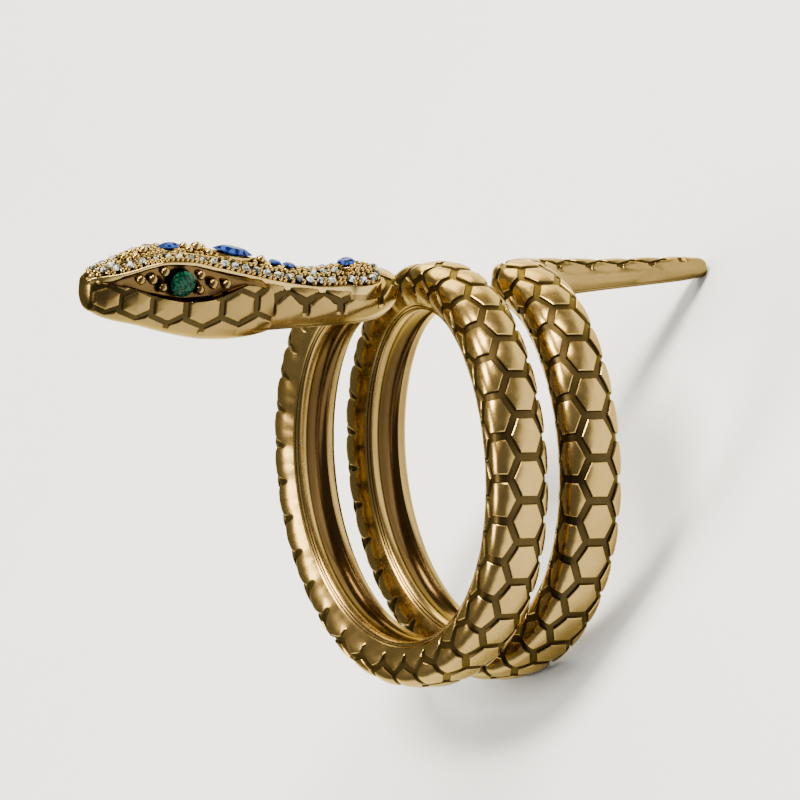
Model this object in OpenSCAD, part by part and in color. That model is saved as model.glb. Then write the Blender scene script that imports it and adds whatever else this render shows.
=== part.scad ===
// Snake wrap ring: a cast snake wound twice round the finger, with a jewelled head and a plain tail.
// Worn frame: X runs along the finger with the head at -X, Z points up through head and tail.
// A point of the snake has s, the way along the body from the nose, b, the way across it,
// and n, the height over the finger.

/* [Finger and coils] */
// Inner diameter of the coils
finger_d = 17.3; // [15.5:0.1:19.5]
// Way along the finger from one turn to the next
turn_pitch = 4.34; // [4:0.02:5]
// Width of the body
body_w = 3.1; // [2.6:0.05:3.3]
// Thickness of the body, scales included
body_t = 2.5; // [2.2:0.05:2.8]
// Height of the dome that carries the scales
dome_h = 0.6; // [0.4:0.05:0.8]
// Radius of the bend from the neck into the coils
neck_bend_r = 3.6; // [3:0.1:4]
// Radius of the bend from the coils into the tail
tail_bend_r = 3; // [2.6:0.1:3.4]
// Sway of the coils along the finger, once a turn
lean = 0.27; // [0:0.01:0.3]
// Sway of the coils along the finger, twice a turn
wobble = 0.155; // [0:0.005:0.2]

/* [Head and tail] */
// Reach of the nose from the middle of the ring
nose_reach = 22.1; // [21.8:0.1:22.6]
// Reach of the tail from the middle of the ring
tail_reach = 16.9; // [15:0.1:18]
// Place of the neck round the finger, from the top towards the far side
neck_round = -1.2; // [-2:0.1:0]
// Place of the tail round the finger, from the top towards the far side
tail_round = 2.4; // [1.5:0.1:3]
// Reach of the seam behind the head from the middle of the ring
seam_reach = 12.04; // [11:0.1:13]

/* [Scales] */
// Length of one scale with its groove
scale_l = 2; // [1.8:0.05:2.2]
// Width of the grooves
groove_w = 0.42; // [0.25:0.01:0.5]
// Depth of the grooves
groove_d = 0.18; // [0.1:0.01:0.25]
// Bevel round each scale
scale_bevel = 0.06; // [0.02:0.01:0.1]
// Way across the body over which scales reach, from the middle
scale_reach = 2.3; // [2:0.05:2.5]

/* [Stones] */
// Diameter of the green eye stones
eye_d = 1.4; // [1.2:0.05:1.45]
// Diameter of the small colourless stones
pave_d = 0.5; // [0.44:0.01:0.52]
// Distance between the small colourless stones
pave_pitch = 0.64; // [0.62:0.01:0.8]
// Gap between a stone and the metal under it
stone_gap = 0.04; // [0.03:0.01:0.08]

/* [Hidden] */
gold = [0.78, 0.62, 0.34];
green = [0.05, 0.35, 0.2];
blue = [0.1, 0.2, 0.6];
clear = [0.85, 0.9, 0.95];

finger_r = finger_d/2;
path_r = finger_r + body_t/2;
once_round = 2*PI*path_r;
coils = 2;
slope = turn_pitch/once_round;
bend_deg = 90 - atan(slope);

// The path lies on the finger as if it were rolled out flat: x along the finger, a round it.
tail_a = coils*once_round + tail_round;
function coil_x(a) = slope*(a - once_round);
neck_x = coil_x(neck_round) - neck_bend_r*tan(bend_deg/2);
tail_x = coil_x(tail_a) + tail_bend_r*tan(bend_deg/2);
coil_from = [neck_x + neck_bend_r*sin(bend_deg), neck_round + neck_bend_r*(1 - cos(bend_deg))];
coil_to = [tail_x - tail_bend_r*sin(bend_deg), tail_a - tail_bend_r*(1 - cos(bend_deg))];
s_neck = neck_x + nose_reach;
s_coil = s_neck + neck_bend_r*bend_deg*PI/180;
s_turn = s_coil + norm(coil_to - coil_from);
s_tail = s_turn + tail_bend_r*bend_deg*PI/180;
s_tip = s_tail + tail_reach - tail_x;
s_seam = nose_reach - seam_reach;

// Place x, a and heading of the middle line at s.
function bend_angle(way, r) = way/r*180/PI;
function neck_line(s) = [s - nose_reach, neck_round, 0];
function neck_bend(q) = [neck_x + neck_bend_r*sin(q), neck_round + neck_bend_r*(1 - cos(q)), q];
function coil_line(s) =
    let (way = coil_from + [cos(bend_deg), sin(bend_deg)]*(s - s_coil))
    [way.x, way.y, bend_deg];
function tail_bend(q) = [tail_x - tail_bend_r*sin(q), tail_a - tail_bend_r*(1 - cos(q)), q];
function tail_line(s) = [tail_x + s - s_tail, tail_a, 0];
function path(s) =
    s <= s_neck ? neck_line(s)
    : s <= s_coil ? neck_bend(bend_angle(s - s_neck, neck_bend_r))
    : s <= s_turn ? coil_line(s)
    : s <= s_tail ? tail_bend(bend_angle(s_tail - s, tail_bend_r))
    : tail_line(s);

// Point and directions of the body in the worn frame.
function radial(th) = [0, sin(th), cos(th)];
function around(th) = [0, cos(th), -sin(th)];
function at(s, b, n) =
    let (p = path(s), th = p.y/path_r*180/PI, sway = lean*sin(th) + wobble*sin(2*th))
    [p.x + sway, 0, 0] + b*across(p.z, th) + (finger_r + n)*radial(th);
function across(heading, th) = cos(heading)*around(th) - [sin(heading), 0, 0];

// Size of the body along its length, columns: s, width share, lowest height, top height.
BODY = [
    [s_seam - 1, 1.02, 0.4, 2.6],
    [s_neck, 1.02, 0.4, 2.6],
    [s_coil, 1, 0, body_t],
    [s_turn - 5, 1, 0, body_t],
    [s_turn, 0.97, 0, 2.42],
    [s_tail, 0.78, 0.12, 2.2],
    [s_tail + 3, 0.66, 0.25, 1.95],
    [s_tip - 1.6, 0.5, 0.42, 1.76],
    [s_tip - 0.6, 0.4, 0.55, 1.6],
    [s_tip - 0.15, 0.24, 0.75, 1.4],
    [s_tip, 0.06, 0.98, 1.14]
];
function body_column(s, k) = lookup(s, [for (row = BODY) [row[0], row[k]]]);
function width_share(s) = body_column(s, 1);
function low(s) = body_column(s, 2);
function height_share(s) = (body_column(s, 3) - low(s))/body_t;

// Half of the outer skin in section, from the top down the side, columns: way v, b, n, slope.
half_w = body_w/2;
side_n = body_t - dome_h;
wall_b = 1.2;
wall_n = 0.25;
dome_step = 15;
wall_slope = 90 + atan((half_w - wall_b)/(side_n - wall_n));
dome_points = [for (q = [0 : dome_step : 90]) [half_w*sin(q), side_n + dome_h*cos(q)]];
dome_ways = [for (i = 0, way = 0; i < len(dome_points);
    i = i + 1, way = i < len(dome_points) ? way + norm(dome_points[i] - dome_points[i - 1]) : 0) way];
edge_way = dome_ways[len(dome_ways) - 1];
wall_way = edge_way + norm([half_w - wall_b, side_n - wall_n]);
SKIN = concat(
    [for (i = [0 : len(dome_points) - 1])
        [dome_ways[i], dome_points[i].x, dome_points[i].y,
            atan2(sin(i*dome_step)/half_w, cos(i*dome_step)/dome_h)]],
    [[wall_way, wall_b, wall_n, wall_slope]]
);
function skin_column(v, k) = lookup(v, [for (row = SKIN) [row[0], row[k]]]);

// Point on the skin at s and at the way v across it, lifted along the skin's own direction.
function on_skin(s, v, lift) =
    let (share = width_share(s), way = abs(v)/share, lean_out = skin_column(way, 3), side = v < 0 ? -1 : 1)
    at(s,
        side*(share*skin_column(way, 1) + lift*sin(lean_out)),
        low(s) + height_share(s)*skin_column(way, 2) + lift*cos(lean_out));

// Finger side of the body: rails at its edges and a hollow channel between.
rail_b = 0.95;
channel_n = 0.2;

// Closed skin through a row of sections that have the same number of points.
module loft(sections) {
    m = len(sections[0]);
    last = len(sections) - 1;
    polyhedron(
        points = [for (row = sections) each row],
        faces = concat(
            [[for (j = [0 : m - 1]) j]],
            [for (i = [0 : last - 1], j = [0 : m - 1])
                each [[i*m + j, (i + 1)*m + j, i*m + (j + 1)%m],
                    [(i + 1)*m + j, (i + 1)*m + (j + 1)%m, i*m + (j + 1)%m]]],
            [[for (j = [m - 1 : -1 : 0]) last*m + j]]));
}

// Scales are hexagons in staggered rows. One period of the pattern runs from the middle of one side scale
// to the middle of the next, with a whole scale between them on the ridge of the back.
column_w = scale_l*sqrt(3)/2;
hex_r = scale_l/sqrt(3);
half_l = scale_l/2;
top_inset = groove_w/2 + scale_bevel;
foot_inset = groove_w/2;
function corner_r(inset) = hex_r - inset*2/sqrt(3);
band_way = scale_reach + 0.05;

// Points of one half of a period, by number.
BACK = 0;
POINT = 1;
FRONT = 2;
INNER = 3;
FLAT = 4;
FLAT_BEFORE = 5;
EDGE = 6;
EDGE_BEFORE = 7;
END = 8;
END_BEFORE = 9;
FOOT = 10;
EDGE_MID = 20;
END_MID = 21;
RING = 22;
HALF_RING = 24;
half_count = 26;
// Points that both halves share.
MIDDLE = 50;
FLOOR = 50;
CROWN = 51;
CHANNEL = 52;
HALF_CHANNEL = 53;
period_count = 2*half_count + 4;
NEXT = 100;

// Corners of the scales in one half, columns: way along from the period's start, way across, share of drift.
function corners(inset, end) = let (r = corner_r(inset), side = half_l - inset) [
    [inset, r/2, 1], [half_l, r, 1], [scale_l - inset, r/2, 1],
    [0, column_w - r, 1], [side, column_w - r/2, 1], [-side, column_w - r/2, 1],
    [side, edge_way, 0], [-side, edge_way, 0], [side, end, 0], [-side, end, 0]];
RINGS = [[wall_b, wall_n], [rail_b, 0]];
function half_points(s, side) = concat(
    [for (p = corners(top_inset, band_way)) on_pattern(s + p[0], side*p[1], p[2], 0)],
    [for (p = corners(foot_inset, scale_reach)) on_pattern(s + p[0], side*p[1], p[2], -groove_d)],
    [for (way = [edge_way, band_way]) on_pattern(s, side*way, 0, 0)],
    [for (ahead = [0, half_l], row = RINGS) inner_point(s + ahead, side*row.x, row.y)]);
function on_pattern(s, v, moves, lift) = on_skin(s, (v + moves*drift_at(s))*width_share(s), lift);
function inner_point(s, b, n) = at(s, width_share(s)*b, low(s) + n);
function shared_points(s) = [
    on_pattern(s, 0, 1, -groove_d), on_pattern(s + half_l, 0, 1, 0),
    inner_point(s, 0, channel_n), inner_point(s + half_l, 0, channel_n)];
function period_points(s) = concat(half_points(s, 1), half_points(s, -1), shared_points(s));

// Faces of one half: tops, walls, groove floors, then the smooth side and the finger side.
HALF_FACES = [
    [CROWN, POINT, BACK], [CROWN, FRONT, POINT],
    [INNER, FLAT, EDGE, EDGE_MID], [EDGE_MID, EDGE, END, END_MID],
    [FLAT_BEFORE + NEXT, INNER + NEXT, EDGE_MID + NEXT, EDGE_BEFORE + NEXT],
    [EDGE_BEFORE + NEXT, EDGE_MID + NEXT, END_MID + NEXT, END_BEFORE + NEXT],
    [BACK, POINT, POINT + FOOT, BACK + FOOT], [POINT, FRONT, FRONT + FOOT, POINT + FOOT],
    [FLAT, INNER, INNER + FOOT, FLAT + FOOT], [EDGE, FLAT, FLAT + FOOT, EDGE + FOOT],
    [END, EDGE, EDGE + FOOT, END + FOOT],
    [INNER + NEXT, FLAT_BEFORE + NEXT, FLAT_BEFORE + FOOT + NEXT, INNER + FOOT + NEXT],
    [FLAT_BEFORE + NEXT, EDGE_BEFORE + NEXT, EDGE_BEFORE + FOOT + NEXT, FLAT_BEFORE + FOOT + NEXT],
    [EDGE_BEFORE + NEXT, END_BEFORE + NEXT, END_BEFORE + FOOT + NEXT, EDGE_BEFORE + FOOT + NEXT],
    [END + FOOT, END_BEFORE + FOOT + NEXT, END_BEFORE + NEXT, END],
    [FLOOR, BACK + FOOT, INNER + FOOT], [FLOOR + NEXT, INNER + FOOT + NEXT, FRONT + FOOT],
    [BACK + FOOT, POINT + FOOT, FLAT + FOOT, INNER + FOOT],
    [POINT + FOOT, FRONT + FOOT, INNER + FOOT + NEXT, FLAT_BEFORE + FOOT + NEXT],
    [POINT + FOOT, FLAT_BEFORE + FOOT + NEXT, FLAT + FOOT],
    [FLAT + FOOT, FLAT_BEFORE + FOOT + NEXT, EDGE_BEFORE + FOOT + NEXT, EDGE + FOOT],
    [EDGE + FOOT, EDGE_BEFORE + FOOT + NEXT, END_BEFORE + FOOT + NEXT, END + FOOT],
    [END_MID, END, HALF_RING, RING], [END, END_BEFORE + NEXT, HALF_RING],
    [END_BEFORE + NEXT, END_MID + NEXT, RING + NEXT, HALF_RING],
    [RING, HALF_RING, HALF_RING + 1, RING + 1], [RING + 1, HALF_RING + 1, HALF_CHANNEL, CHANNEL],
    [HALF_RING, RING + NEXT, RING + 1 + NEXT, HALF_RING + 1],
    [HALF_RING + 1, RING + 1 + NEXT, CHANNEL + NEXT, HALF_CHANNEL]
];
// Corners of one half in section at the start of a period, from the ridge to the finger side.
HALF_SECTION = [INNER + FOOT, INNER, EDGE_MID, END_MID, RING, RING + 1];
function number_of(i, half, ref) =
    let (ahead = floor(ref/NEXT), k = ref - ahead*NEXT)
    (i + ahead)*period_count + (k >= MIDDLE ? 2*half_count + k - MIDDLE : half*half_count + k);
function backwards(list) = [for (k = [len(list) - 1 : -1 : 0]) list[k]];
function turned(face, half) = half == 0 ? face : backwards(face);
function triangles(face) =
    len(face) == 3 ? [face] : [[face[0], face[1], face[2]], [face[0], face[2], face[3]]];
function both_halves(i) = [for (half = [0, 1], face = HALF_FACES)
    each triangles(turned([for (ref = face) number_of(i, half, ref)], half))];
// Faces across the ridge: the two ends of the whole scale's top, its end walls and the floors beyond them.
function across_ridge(i) = let (m = function (half, ref) number_of(i, half, ref)) concat(
    [[m(0, CROWN), m(0, BACK), m(1, BACK)], [m(0, CROWN), m(1, FRONT), m(0, FRONT)]],
    triangles([m(0, BACK), m(0, BACK + FOOT), m(1, BACK + FOOT), m(1, BACK)]),
    triangles([m(1, FRONT), m(1, FRONT + FOOT), m(0, FRONT + FOOT), m(0, FRONT)]),
    [[m(0, FLOOR), m(1, BACK + FOOT), m(0, BACK + FOOT)],
        [m(0, FLOOR + NEXT), m(0, FRONT + FOOT), m(1, FRONT + FOOT)]]);
function section_numbers(i) = concat(
    [number_of(i, 0, FLOOR)], [for (ref = HALF_SECTION) number_of(i, 0, ref)],
    [number_of(i, 0, CHANNEL)],
    [for (k = [len(HALF_SECTION) - 1 : -1 : 0]) number_of(i, 1, HALF_SECTION[k])]);

// The side columns sit nearer the head's side of the first coil than of the second.
drift = -0.4;
function drift_at(s) = drift*lookup(s, [
    [s_coil, 0],
    [s_coil + once_round/2, 1],
    [s_coil + once_round*1.1, 1],
    [s_coil + once_round*1.6, 0]
]);
first_row = ceil((s_seam - 1)/scale_l);
row_count = floor((s_tip - 2.6)/scale_l) - first_row;
scale_shift = -0.8;
pattern_end = (first_row + row_count)*scale_l + scale_shift;

// Plain end of the tail: sections with the same corners as the pattern, drawn in to the tip.
function tip_section(s) = concat(
    [on_pattern(s, 0, 1, 0)],
    [for (v = [column_w - corner_r(foot_inset), column_w - corner_r(top_inset), edge_way, band_way])
        on_pattern(s, v, 0, 0)],
    [for (row = RINGS) inner_point(s, row.x, row.y*height_share(s))],
    [inner_point(s, 0, channel_n*height_share(s))],
    [for (k = [len(RINGS) - 1 : -1 : 0]) inner_point(s, -RINGS[k].x, RINGS[k].y*height_share(s))],
    [for (v = [band_way, edge_way, column_w - corner_r(top_inset), column_w - corner_r(foot_inset)])
        on_pattern(s, -v, 0, 0)]);
tip_places = [pattern_end + 0.25, s_tip - 0.9, s_tip - 0.45, s_tip - 0.15, s_tip];

module scaled_body() {
    pattern = [for (i = [0 : row_count]) each period_points((first_row + i)*scale_l + scale_shift)];
    sections = [for (s = tip_places) tip_section(s)];
    m = len(sections[0]);
    from = len(pattern);
    rings = concat([section_numbers(row_count)],
        [for (k = [0 : len(sections) - 1]) [for (j = [0 : m - 1]) from + k*m + j]]);
    polyhedron(
        points = concat(pattern, [for (section = sections) each section]),
        faces = [for (face = concat(
            [section_numbers(0)],
            [for (i = [0 : row_count - 1]) each concat(both_halves(i), across_ridge(i))],
            [for (k = [0 : len(rings) - 2], j = [0 : m - 1]) let (j2 = (j + 1)%m)
                each [[rings[k][j], rings[k + 1][j], rings[k][j2]],
                    [rings[k + 1][j], rings[k + 1][j2], rings[k][j2]]]],
            [[for (j = [m - 1 : -1 : 0]) rings[len(rings) - 1][j]]])) backwards(face)]);
}

// Point over the neck line: x along the finger, b across the head, n over the finger.
neck_th = neck_round/path_r*180/PI;
function over_finger(x, b, n) = [x, 0, 0] + b*around(neck_th) + (finger_r + n)*radial(neck_th);

// Head, columns: x, half width, lowest height, height of the widest part, top height.
HEAD = [
    [-nose_reach, 0.3, 2.75, 3.2, 3.55],
    [-21.95, 0.6, 2.3, 3.05, 3.66],
    [-21.7, 0.84, 1.9, 2.9, 3.74],
    [-21.15, 1.12, 1.6, 2.7, 3.82],
    [-20.4, 1.36, 1.36, 2.55, 3.9],
    [-19.4, 1.6, 1.12, 2.45, 4.16],
    [-18.2, 1.78, 0.75, 2.3, 4.35],
    [-16.9, 1.9, 0.38, 2.15, 4.3],
    [-15.4, 1.96, 0.08, 2, 4],
    [-14, 1.94, 0, 1.85, 3.65],
    [-12.04, 1.74, 0.22, 1.7, 3.05],
    [-11.8, 1.52, 0.45, 1.65, 2.75]
];
belly_power = 0.77;
top_power = 0.5;
function head_section(row) = [for (q = [-90 : 22.5 : 247.5])
    let (up = sin(q) > 0, power = up ? top_power : belly_power,
        reach = up ? row[4] - row[3] : row[3] - row[2],
        b = sign(cos(q))*pow(abs(cos(q)), power), n = sign(sin(q))*pow(abs(sin(q)), power))
    over_finger(row[0], b*row[1], row[3] + reach*n)];

// Raised scales down each side of the head, columns: x, height, half length, half height.
HEAD_SCALES = [
    [-21.25, 2.82, 0.62, 0.56],
    [-19.72, 2.6, 0.68, 0.63],
    [-18, 2.38, 0.76, 0.74],
    [-16.05, 2.12, 0.84, 0.76],
    [-14.05, 2.12, 0.84, 0.76]
];
scale_rise = 0.126;
scale_root = 0.33;
function head_column(x, k) = lookup(x, [for (row = HEAD) [row[0], row[k]]]);
function head_side(x, n) =
    let (side_n = head_column(x, 3), up = n > side_n, power = up ? top_power : belly_power,
        reach = up ? head_column(x, 4) - side_n : side_n - head_column(x, 2),
        share = min(abs(n - side_n)/reach, 0.98), q = asin(pow(share, 1/power)))
    head_column(x, 1)*pow(cos(q), power);
module head_scale(row, side) {
    function ring(share, rise) = [for (q = [30 : 60 : 330])
        let (x = row[0] + share*row[2]*cos(q)/cos(30), n = row[1] + share*row[3]*sin(q))
        over_finger(x, side*(head_side(x, n) + rise), n)];
    hull() polyhedron(points = concat(ring(1, -scale_root), ring(0.96, scale_rise)),
        faces = [[for (i = [0 : 11]) i]]);
}

// Crown: the raised plate over head and neck that carries the stones, ending in a round drop.
// Columns: x, half width, height of the rim, height of the floor in the middle.
drop_x = -6.6;
drop_r = 1.61;
CROWN_PLATE = concat([
    [-21.85, 0.5, 3.74, 3.72],
    [-21.4, 0.8, 3.88, 3.9],
    [-20.6, 1.02, 4.02, 4.1],
    [-19.8, 1.18, 4.22, 4.38],
    [-19, 1.3, 4.46, 4.6],
    [-18, 1.38, 4.62, 4.74],
    [-16.9, 1.42, 4.54, 4.72],
    [-15.2, 1.38, 4.12, 4.5],
    [-13.5, 1.3, 3.64, 4.08],
    [-12.05, 1.26, 3.24, 3.68],
    [-10.5, 1.26, 2.88, 3.28],
    [-9, 1.3, 2.66, 2.96],
    [-8.05, 1.42, 2.64, 3.02]],
    [for (q = [-30, -5, 20, 42, 60, 75, 86])
        [drop_x + drop_r*sin(q), drop_r*cos(q), 2.62 - 0.06*sin(q), 3.2 - 0.52*pow(sin(q), 2)]]);
rim_w = 0.16;
rim_h = 0.12;
crown_depth = 0.79;
function crown_section(row) =
    let (w = row[1], inner = max(w - rim_w, w*0.4), half = [
        [w, row[2] - crown_depth], [w, row[2]], [inner + 0.02, row[2]],
        [inner - 0.03, row[2] - rim_h], [inner*0.5, (row[2] - rim_h)*0.35 + row[3]*0.65]])
    concat([for (p = half) over_finger(row[0], p.x, p.y)], [over_finger(row[0], 0, row[3])],
        [for (p = backwards(half)) over_finger(row[0], -p.x, p.y)]);

// Eye recess, columns: x, lower edge, upper edge, depth.
RECESS = [
    [-21.4, 3.6, 3.66, 0.12],
    [-20.4, 3.46, 3.84, 0.26],
    [-18.9, 2.99, 4.26, 0.42],
    [-17.9, 2.74, 4.42, 0.5],
    [-16.9, 2.57, 4.34, 0.54],
    [-15.6, 2.63, 4, 0.5],
    [-14.6, 2.88, 3.72, 0.4],
    [-13.4, 3.2, 3.44, 0.26],
    [-12.5, 3.22, 3.28, 0.12]
];
recess_out = 3;
module recess(side) {
    loft([for (row = RECESS) let (inner = head_column(row[0], 1) - row[3])
        side > 0 ?
        [over_finger(row[0], recess_out, row[1]), over_finger(row[0], recess_out, row[2]),
            over_finger(row[0], inner, row[2]), over_finger(row[0], inner, row[1])]
        : [over_finger(row[0], -inner, row[1]), over_finger(row[0], -inner, row[2]),
            over_finger(row[0], -recess_out, row[2]), over_finger(row[0], -recess_out, row[1])]]);
}

function crown_column(x, k) = lookup(x, [for (row = CROWN_PLATE) [row[0], row[k]]]);
function recess_floor(x) = head_column(x, 1) - lookup(x, [for (row = RECESS) [row[0], row[3]]]);
function crown_floor(x, b) = let (w = crown_column(x, 1) - rim_w, mid = crown_column(x, 3),
    edge = crown_column(x, 2) - rim_h) lookup(abs(b), [[0, mid], [w*0.5, edge*0.35 + mid*0.65], [w, edge]]);

// Grain beads, columns: x, height or way across, diameter.
EYE_BEADS = [
    [-19.5, 3.78, 0.46], [-18.85, 3.78, 0.5], [-18.2, 4.14, 0.46], [-18.25, 3.32, 0.46],
    [-16.2, 3.86, 0.46], [-16.2, 3.08, 0.46], [-15.5, 3.36, 0.5], [-14.75, 3.3, 0.46]
];
CROWN_BEADS = [
    [-19.85, 0, 0.42], [-19.35, -0.34, 0.42], [-19.35, 0.34, 0.42], [-18.8, 0, 0.48],
    [-16.35, -0.3, 0.46], [-16.35, 0.3, 0.46], [-15.8, 0, 0.6], [-15.25, -0.42, 0.46], [-15.25, 0.42, 0.46],
    [-12, 0, 0.5]
];
bead_sides = 10;
module bead(place, d) {
    hull() translate(place) sphere(d = d, $fn = bead_sides);
}
module beads() {
    for (row = EYE_BEADS, side = [-1, 1])
        bead(over_finger(row[0], side*(recess_floor(row[0]) + row[2]*0.22), row[1]), row[2]);
    for (row = CROWN_BEADS)
        bead(over_finger(row[0], row[1], crown_floor(row[0], row[1]) + row[2]*0.22), row[2]);
}

// The ring at rest: it lies on the outer edge of its second coil and on the tip of the tail.
rest_roll = 11.588;
rest_lean = 56.921;
rest_x = -3.391;
rest_y = -0.003;
function low_way(p) =
    let (z = p.y*sin(rest_roll) + p.z*cos(rest_roll))
    z*cos(rest_lean) - p.x*sin(rest_lean);
edge_points = [for (i = [0 : row_count], ahead = [top_inset - half_l, 0, half_l - top_inset])
    on_pattern((first_row + i)*scale_l + scale_shift + ahead, -edge_way, 0, 0)];
tip_points = [for (s = tip_places) each tip_section(s)];
rest_z = -min([for (p = concat(edge_points, tip_points)) low_way(p)]);
module at_rest() {
    translate([rest_x, rest_y, rest_z]) rotate([0, rest_lean, 0]) rotate([rest_roll, 0, 0]) children();
}

module snake_body() {
    at_rest() color(gold) {
        difference() {
            union() {
                scaled_body();
                loft([for (row = HEAD) head_section(row)]);
                for (row = HEAD_SCALES, side = [-1, 1]) head_scale(row, side);
                loft([for (row = CROWN_PLATE) crown_section(row)]);
            }
            recess(1);
            recess(-1);
        }
        beads();
    }
}

// Cut stone: a table, eight facets down to the girdle and eight down to the point.
// Its outline has half lengths rx and ry along u and v, and w points out of the table.
facets = 8;
table_share = 0.6;
module cut_stone(middle, u, v, w, rx, ry, crown_h, point_h, pointed = 1) {
    outline = [for (k = [0 : facets - 1]) let (q = 360*k/facets)
        [cos(q), sign(sin(q))*pow(abs(sin(q)), pointed)]];
    function ring(share, h) = [for (p = outline) middle + share*(rx*p.x*u + ry*p.y*v) + h*w];
    points = concat(ring(table_share, crown_h), ring(1, 0), [middle - point_h*w]);
    hull() polyhedron(points = points, faces = [[for (i = [0 : len(points) - 1]) i]]);
}
along = [1, 0, 0];
outward = radial(neck_th);
sideways = around(neck_th);
function unit(v) = v/norm(v);
fall_step = 0.2;
function fall_along(x, b) = (crown_floor(x - fall_step, b) - crown_floor(x + fall_step, b))/(2*fall_step);
function fall_across(x, b) = (crown_floor(x, b - fall_step) - crown_floor(x, b + fall_step))/(2*fall_step);
// A stone leans with the floor of the crown under it.
module crown_stone(x, b, rx, ry, crown_h, point_h, pointed = 1) {
    w = unit(outward + fall_along(x, b)*along + fall_across(x, b)*sideways);
    u = unit(along - (along*w)*w);
    cut_stone(over_finger(x, b, crown_floor(x, b)) + (stone_gap + point_h)*w, u, cross(w, u), w,
        rx, ry, crown_h, point_h, pointed);
}

eye_x = -17.25;
eye_n = 3.5;
eye_crown_h = 0.2;
eye_point_h = 0.3;
module eye_stone(side) {
    cut_stone(over_finger(eye_x, side*(recess_floor(eye_x) + stone_gap + eye_point_h), eye_n),
        along, outward*-side, sideways*side, eye_d/2, eye_d/2, eye_crown_h, eye_point_h);
}
module eye_stone_near() {
    at_rest() color(green) eye_stone(-1);
}
module eye_stone_far() {
    at_rest() color(green) eye_stone(1);
}

// Blue stones, columns: x, half length, half width, crown height, point depth, exponent of the outline.
BLUE = [
    [-17.35, 0.62, 0.34, 0.16, 0.24, 1.4],
    [-13.75, 1.2, 0.5, 0.24, 0.3, 1.4],
    [-11.2, 0.36, 0.36, 0.12, 0.22, 1],
    [-10.35, 0.36, 0.36, 0.12, 0.22, 1],
    [-6.95, 0.48, 0.48, 0.16, 0.26, 1]
];
module blue_stone(row) {
    crown_stone(row[0], 0, row[1], row[2], row[3], row[4], row[5]);
}
module marquise_small() {
    at_rest() color(blue) blue_stone(BLUE[0]);
}
module marquise_large() {
    at_rest() color(blue) blue_stone(BLUE[1]);
}
module blue_neck_front() {
    at_rest() color(blue) blue_stone(BLUE[2]);
}
module blue_neck_back() {
    at_rest() color(blue) blue_stone(BLUE[3]);
}
module blue_drop() {
    at_rest() color(blue) blue_stone(BLUE[4]);
}

// Pave: rows of small stones over the crown, left out where a blue stone or a bead sits.
pave_crown_h = 0.12;
pave_point_h = 0.2;
pave_r = pave_d/2;
stone_room = 0.12;
pave_to = drop_x - 1.2;
pave_turn = 30;
// Rows along the crown, columns: start, share of the way to the rim, start shift in steps.
PAVE_ROWS = [
    [-21.4, 1, 0],
    [-20.6, 1/3, 0.5],
    [-20.6, -1/3, 0],
    [-21.4, -1, 0.5]
];
function pave_edge(x) =
    min(crown_column(x - pave_r, 1), crown_column(x + pave_r, 1)) - rim_w - pave_r - 0.03;
function free(x, b) =
    min([for (row = BLUE)
        norm([(x - row[0])/(row[1] + pave_r + stone_room), b/(row[2] + pave_r + stone_room)])]) >= 1
    && min([for (row = CROWN_BEADS) norm([x - row[0], b - row[1]]) - row[2]/2 - pave_r - 0.02]) >= 0;
drop_ring_r = drop_r - rim_w - pave_r - 0.03;
PAVE = concat(
    [for (row = PAVE_ROWS, i = [0 : floor((pave_to - row[0])/pave_pitch)])
        let (x = row[0] + (i + row[2])*pave_pitch, b = row[1]*pave_edge(x))
        if (x < pave_to && free(x, b)) [x, b]],
    [for (q = [-120 : pave_turn : 120]) [drop_x + drop_ring_r*cos(q), drop_ring_r*sin(q)]]);
module pave_stones() {
    at_rest() color(clear) for (p = PAVE)
        crown_stone(p.x, p.y, pave_r, pave_r, pave_crown_h, pave_point_h);
}

snake_body();
eye_stone_near();
eye_stone_far();
marquise_small();
marquise_large();
blue_neck_front();
blue_neck_back();
blue_drop();
pave_stones();
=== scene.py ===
"""Snake wrap ring: the looks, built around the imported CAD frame.

Lengths in the shape functions are millimetres in the worn frame, where X runs along the finger.
WORN_TO_REST turns and scales them to the row frame, in which the ring lies on the floor.
"""

import math

import bmesh
import bpy
import numpy as np
from mathutils import Matrix, Vector


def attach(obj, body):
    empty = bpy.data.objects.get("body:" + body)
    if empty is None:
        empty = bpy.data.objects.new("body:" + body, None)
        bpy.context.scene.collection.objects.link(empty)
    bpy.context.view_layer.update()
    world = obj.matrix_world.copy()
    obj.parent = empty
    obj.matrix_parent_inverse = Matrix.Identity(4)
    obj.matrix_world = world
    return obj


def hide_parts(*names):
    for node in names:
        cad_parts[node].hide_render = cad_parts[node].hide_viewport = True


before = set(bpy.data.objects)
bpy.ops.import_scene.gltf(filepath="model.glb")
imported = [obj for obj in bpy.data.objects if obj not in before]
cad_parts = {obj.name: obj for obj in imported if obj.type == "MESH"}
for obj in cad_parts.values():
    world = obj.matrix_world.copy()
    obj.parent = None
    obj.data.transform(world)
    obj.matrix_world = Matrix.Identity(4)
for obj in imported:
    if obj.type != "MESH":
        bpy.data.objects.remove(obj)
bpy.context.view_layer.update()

# The ring at rest
REST_ROLL = math.radians(11.588)
REST_LEAN = math.radians(56.921)
REST_PLACE = (-3.391, -0.003, 9.029)
WORN_TO_REST = (
    Matrix.Scale(0.001, 4)
    @ Matrix.Translation(REST_PLACE)
    @ Matrix.Rotation(REST_LEAN, 4, "Y")
    @ Matrix.Rotation(REST_ROLL, 4, "X")
)
TO_REST = np.array(WORN_TO_REST)


def matched(*values):
    """Values as float arrays of one shape."""
    return np.broadcast_arrays(*(np.asarray(v, float) for v in values))


def lookup(x, table, k=1):
    """Column k of a table at x, which its first column holds."""
    return np.interp(x, table[:, 0], table[:, k])


def in_scene(name, data):
    """New object of the scene."""
    obj = bpy.data.objects.new(name, data)
    bpy.context.scene.collection.objects.link(obj)
    return obj


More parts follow.
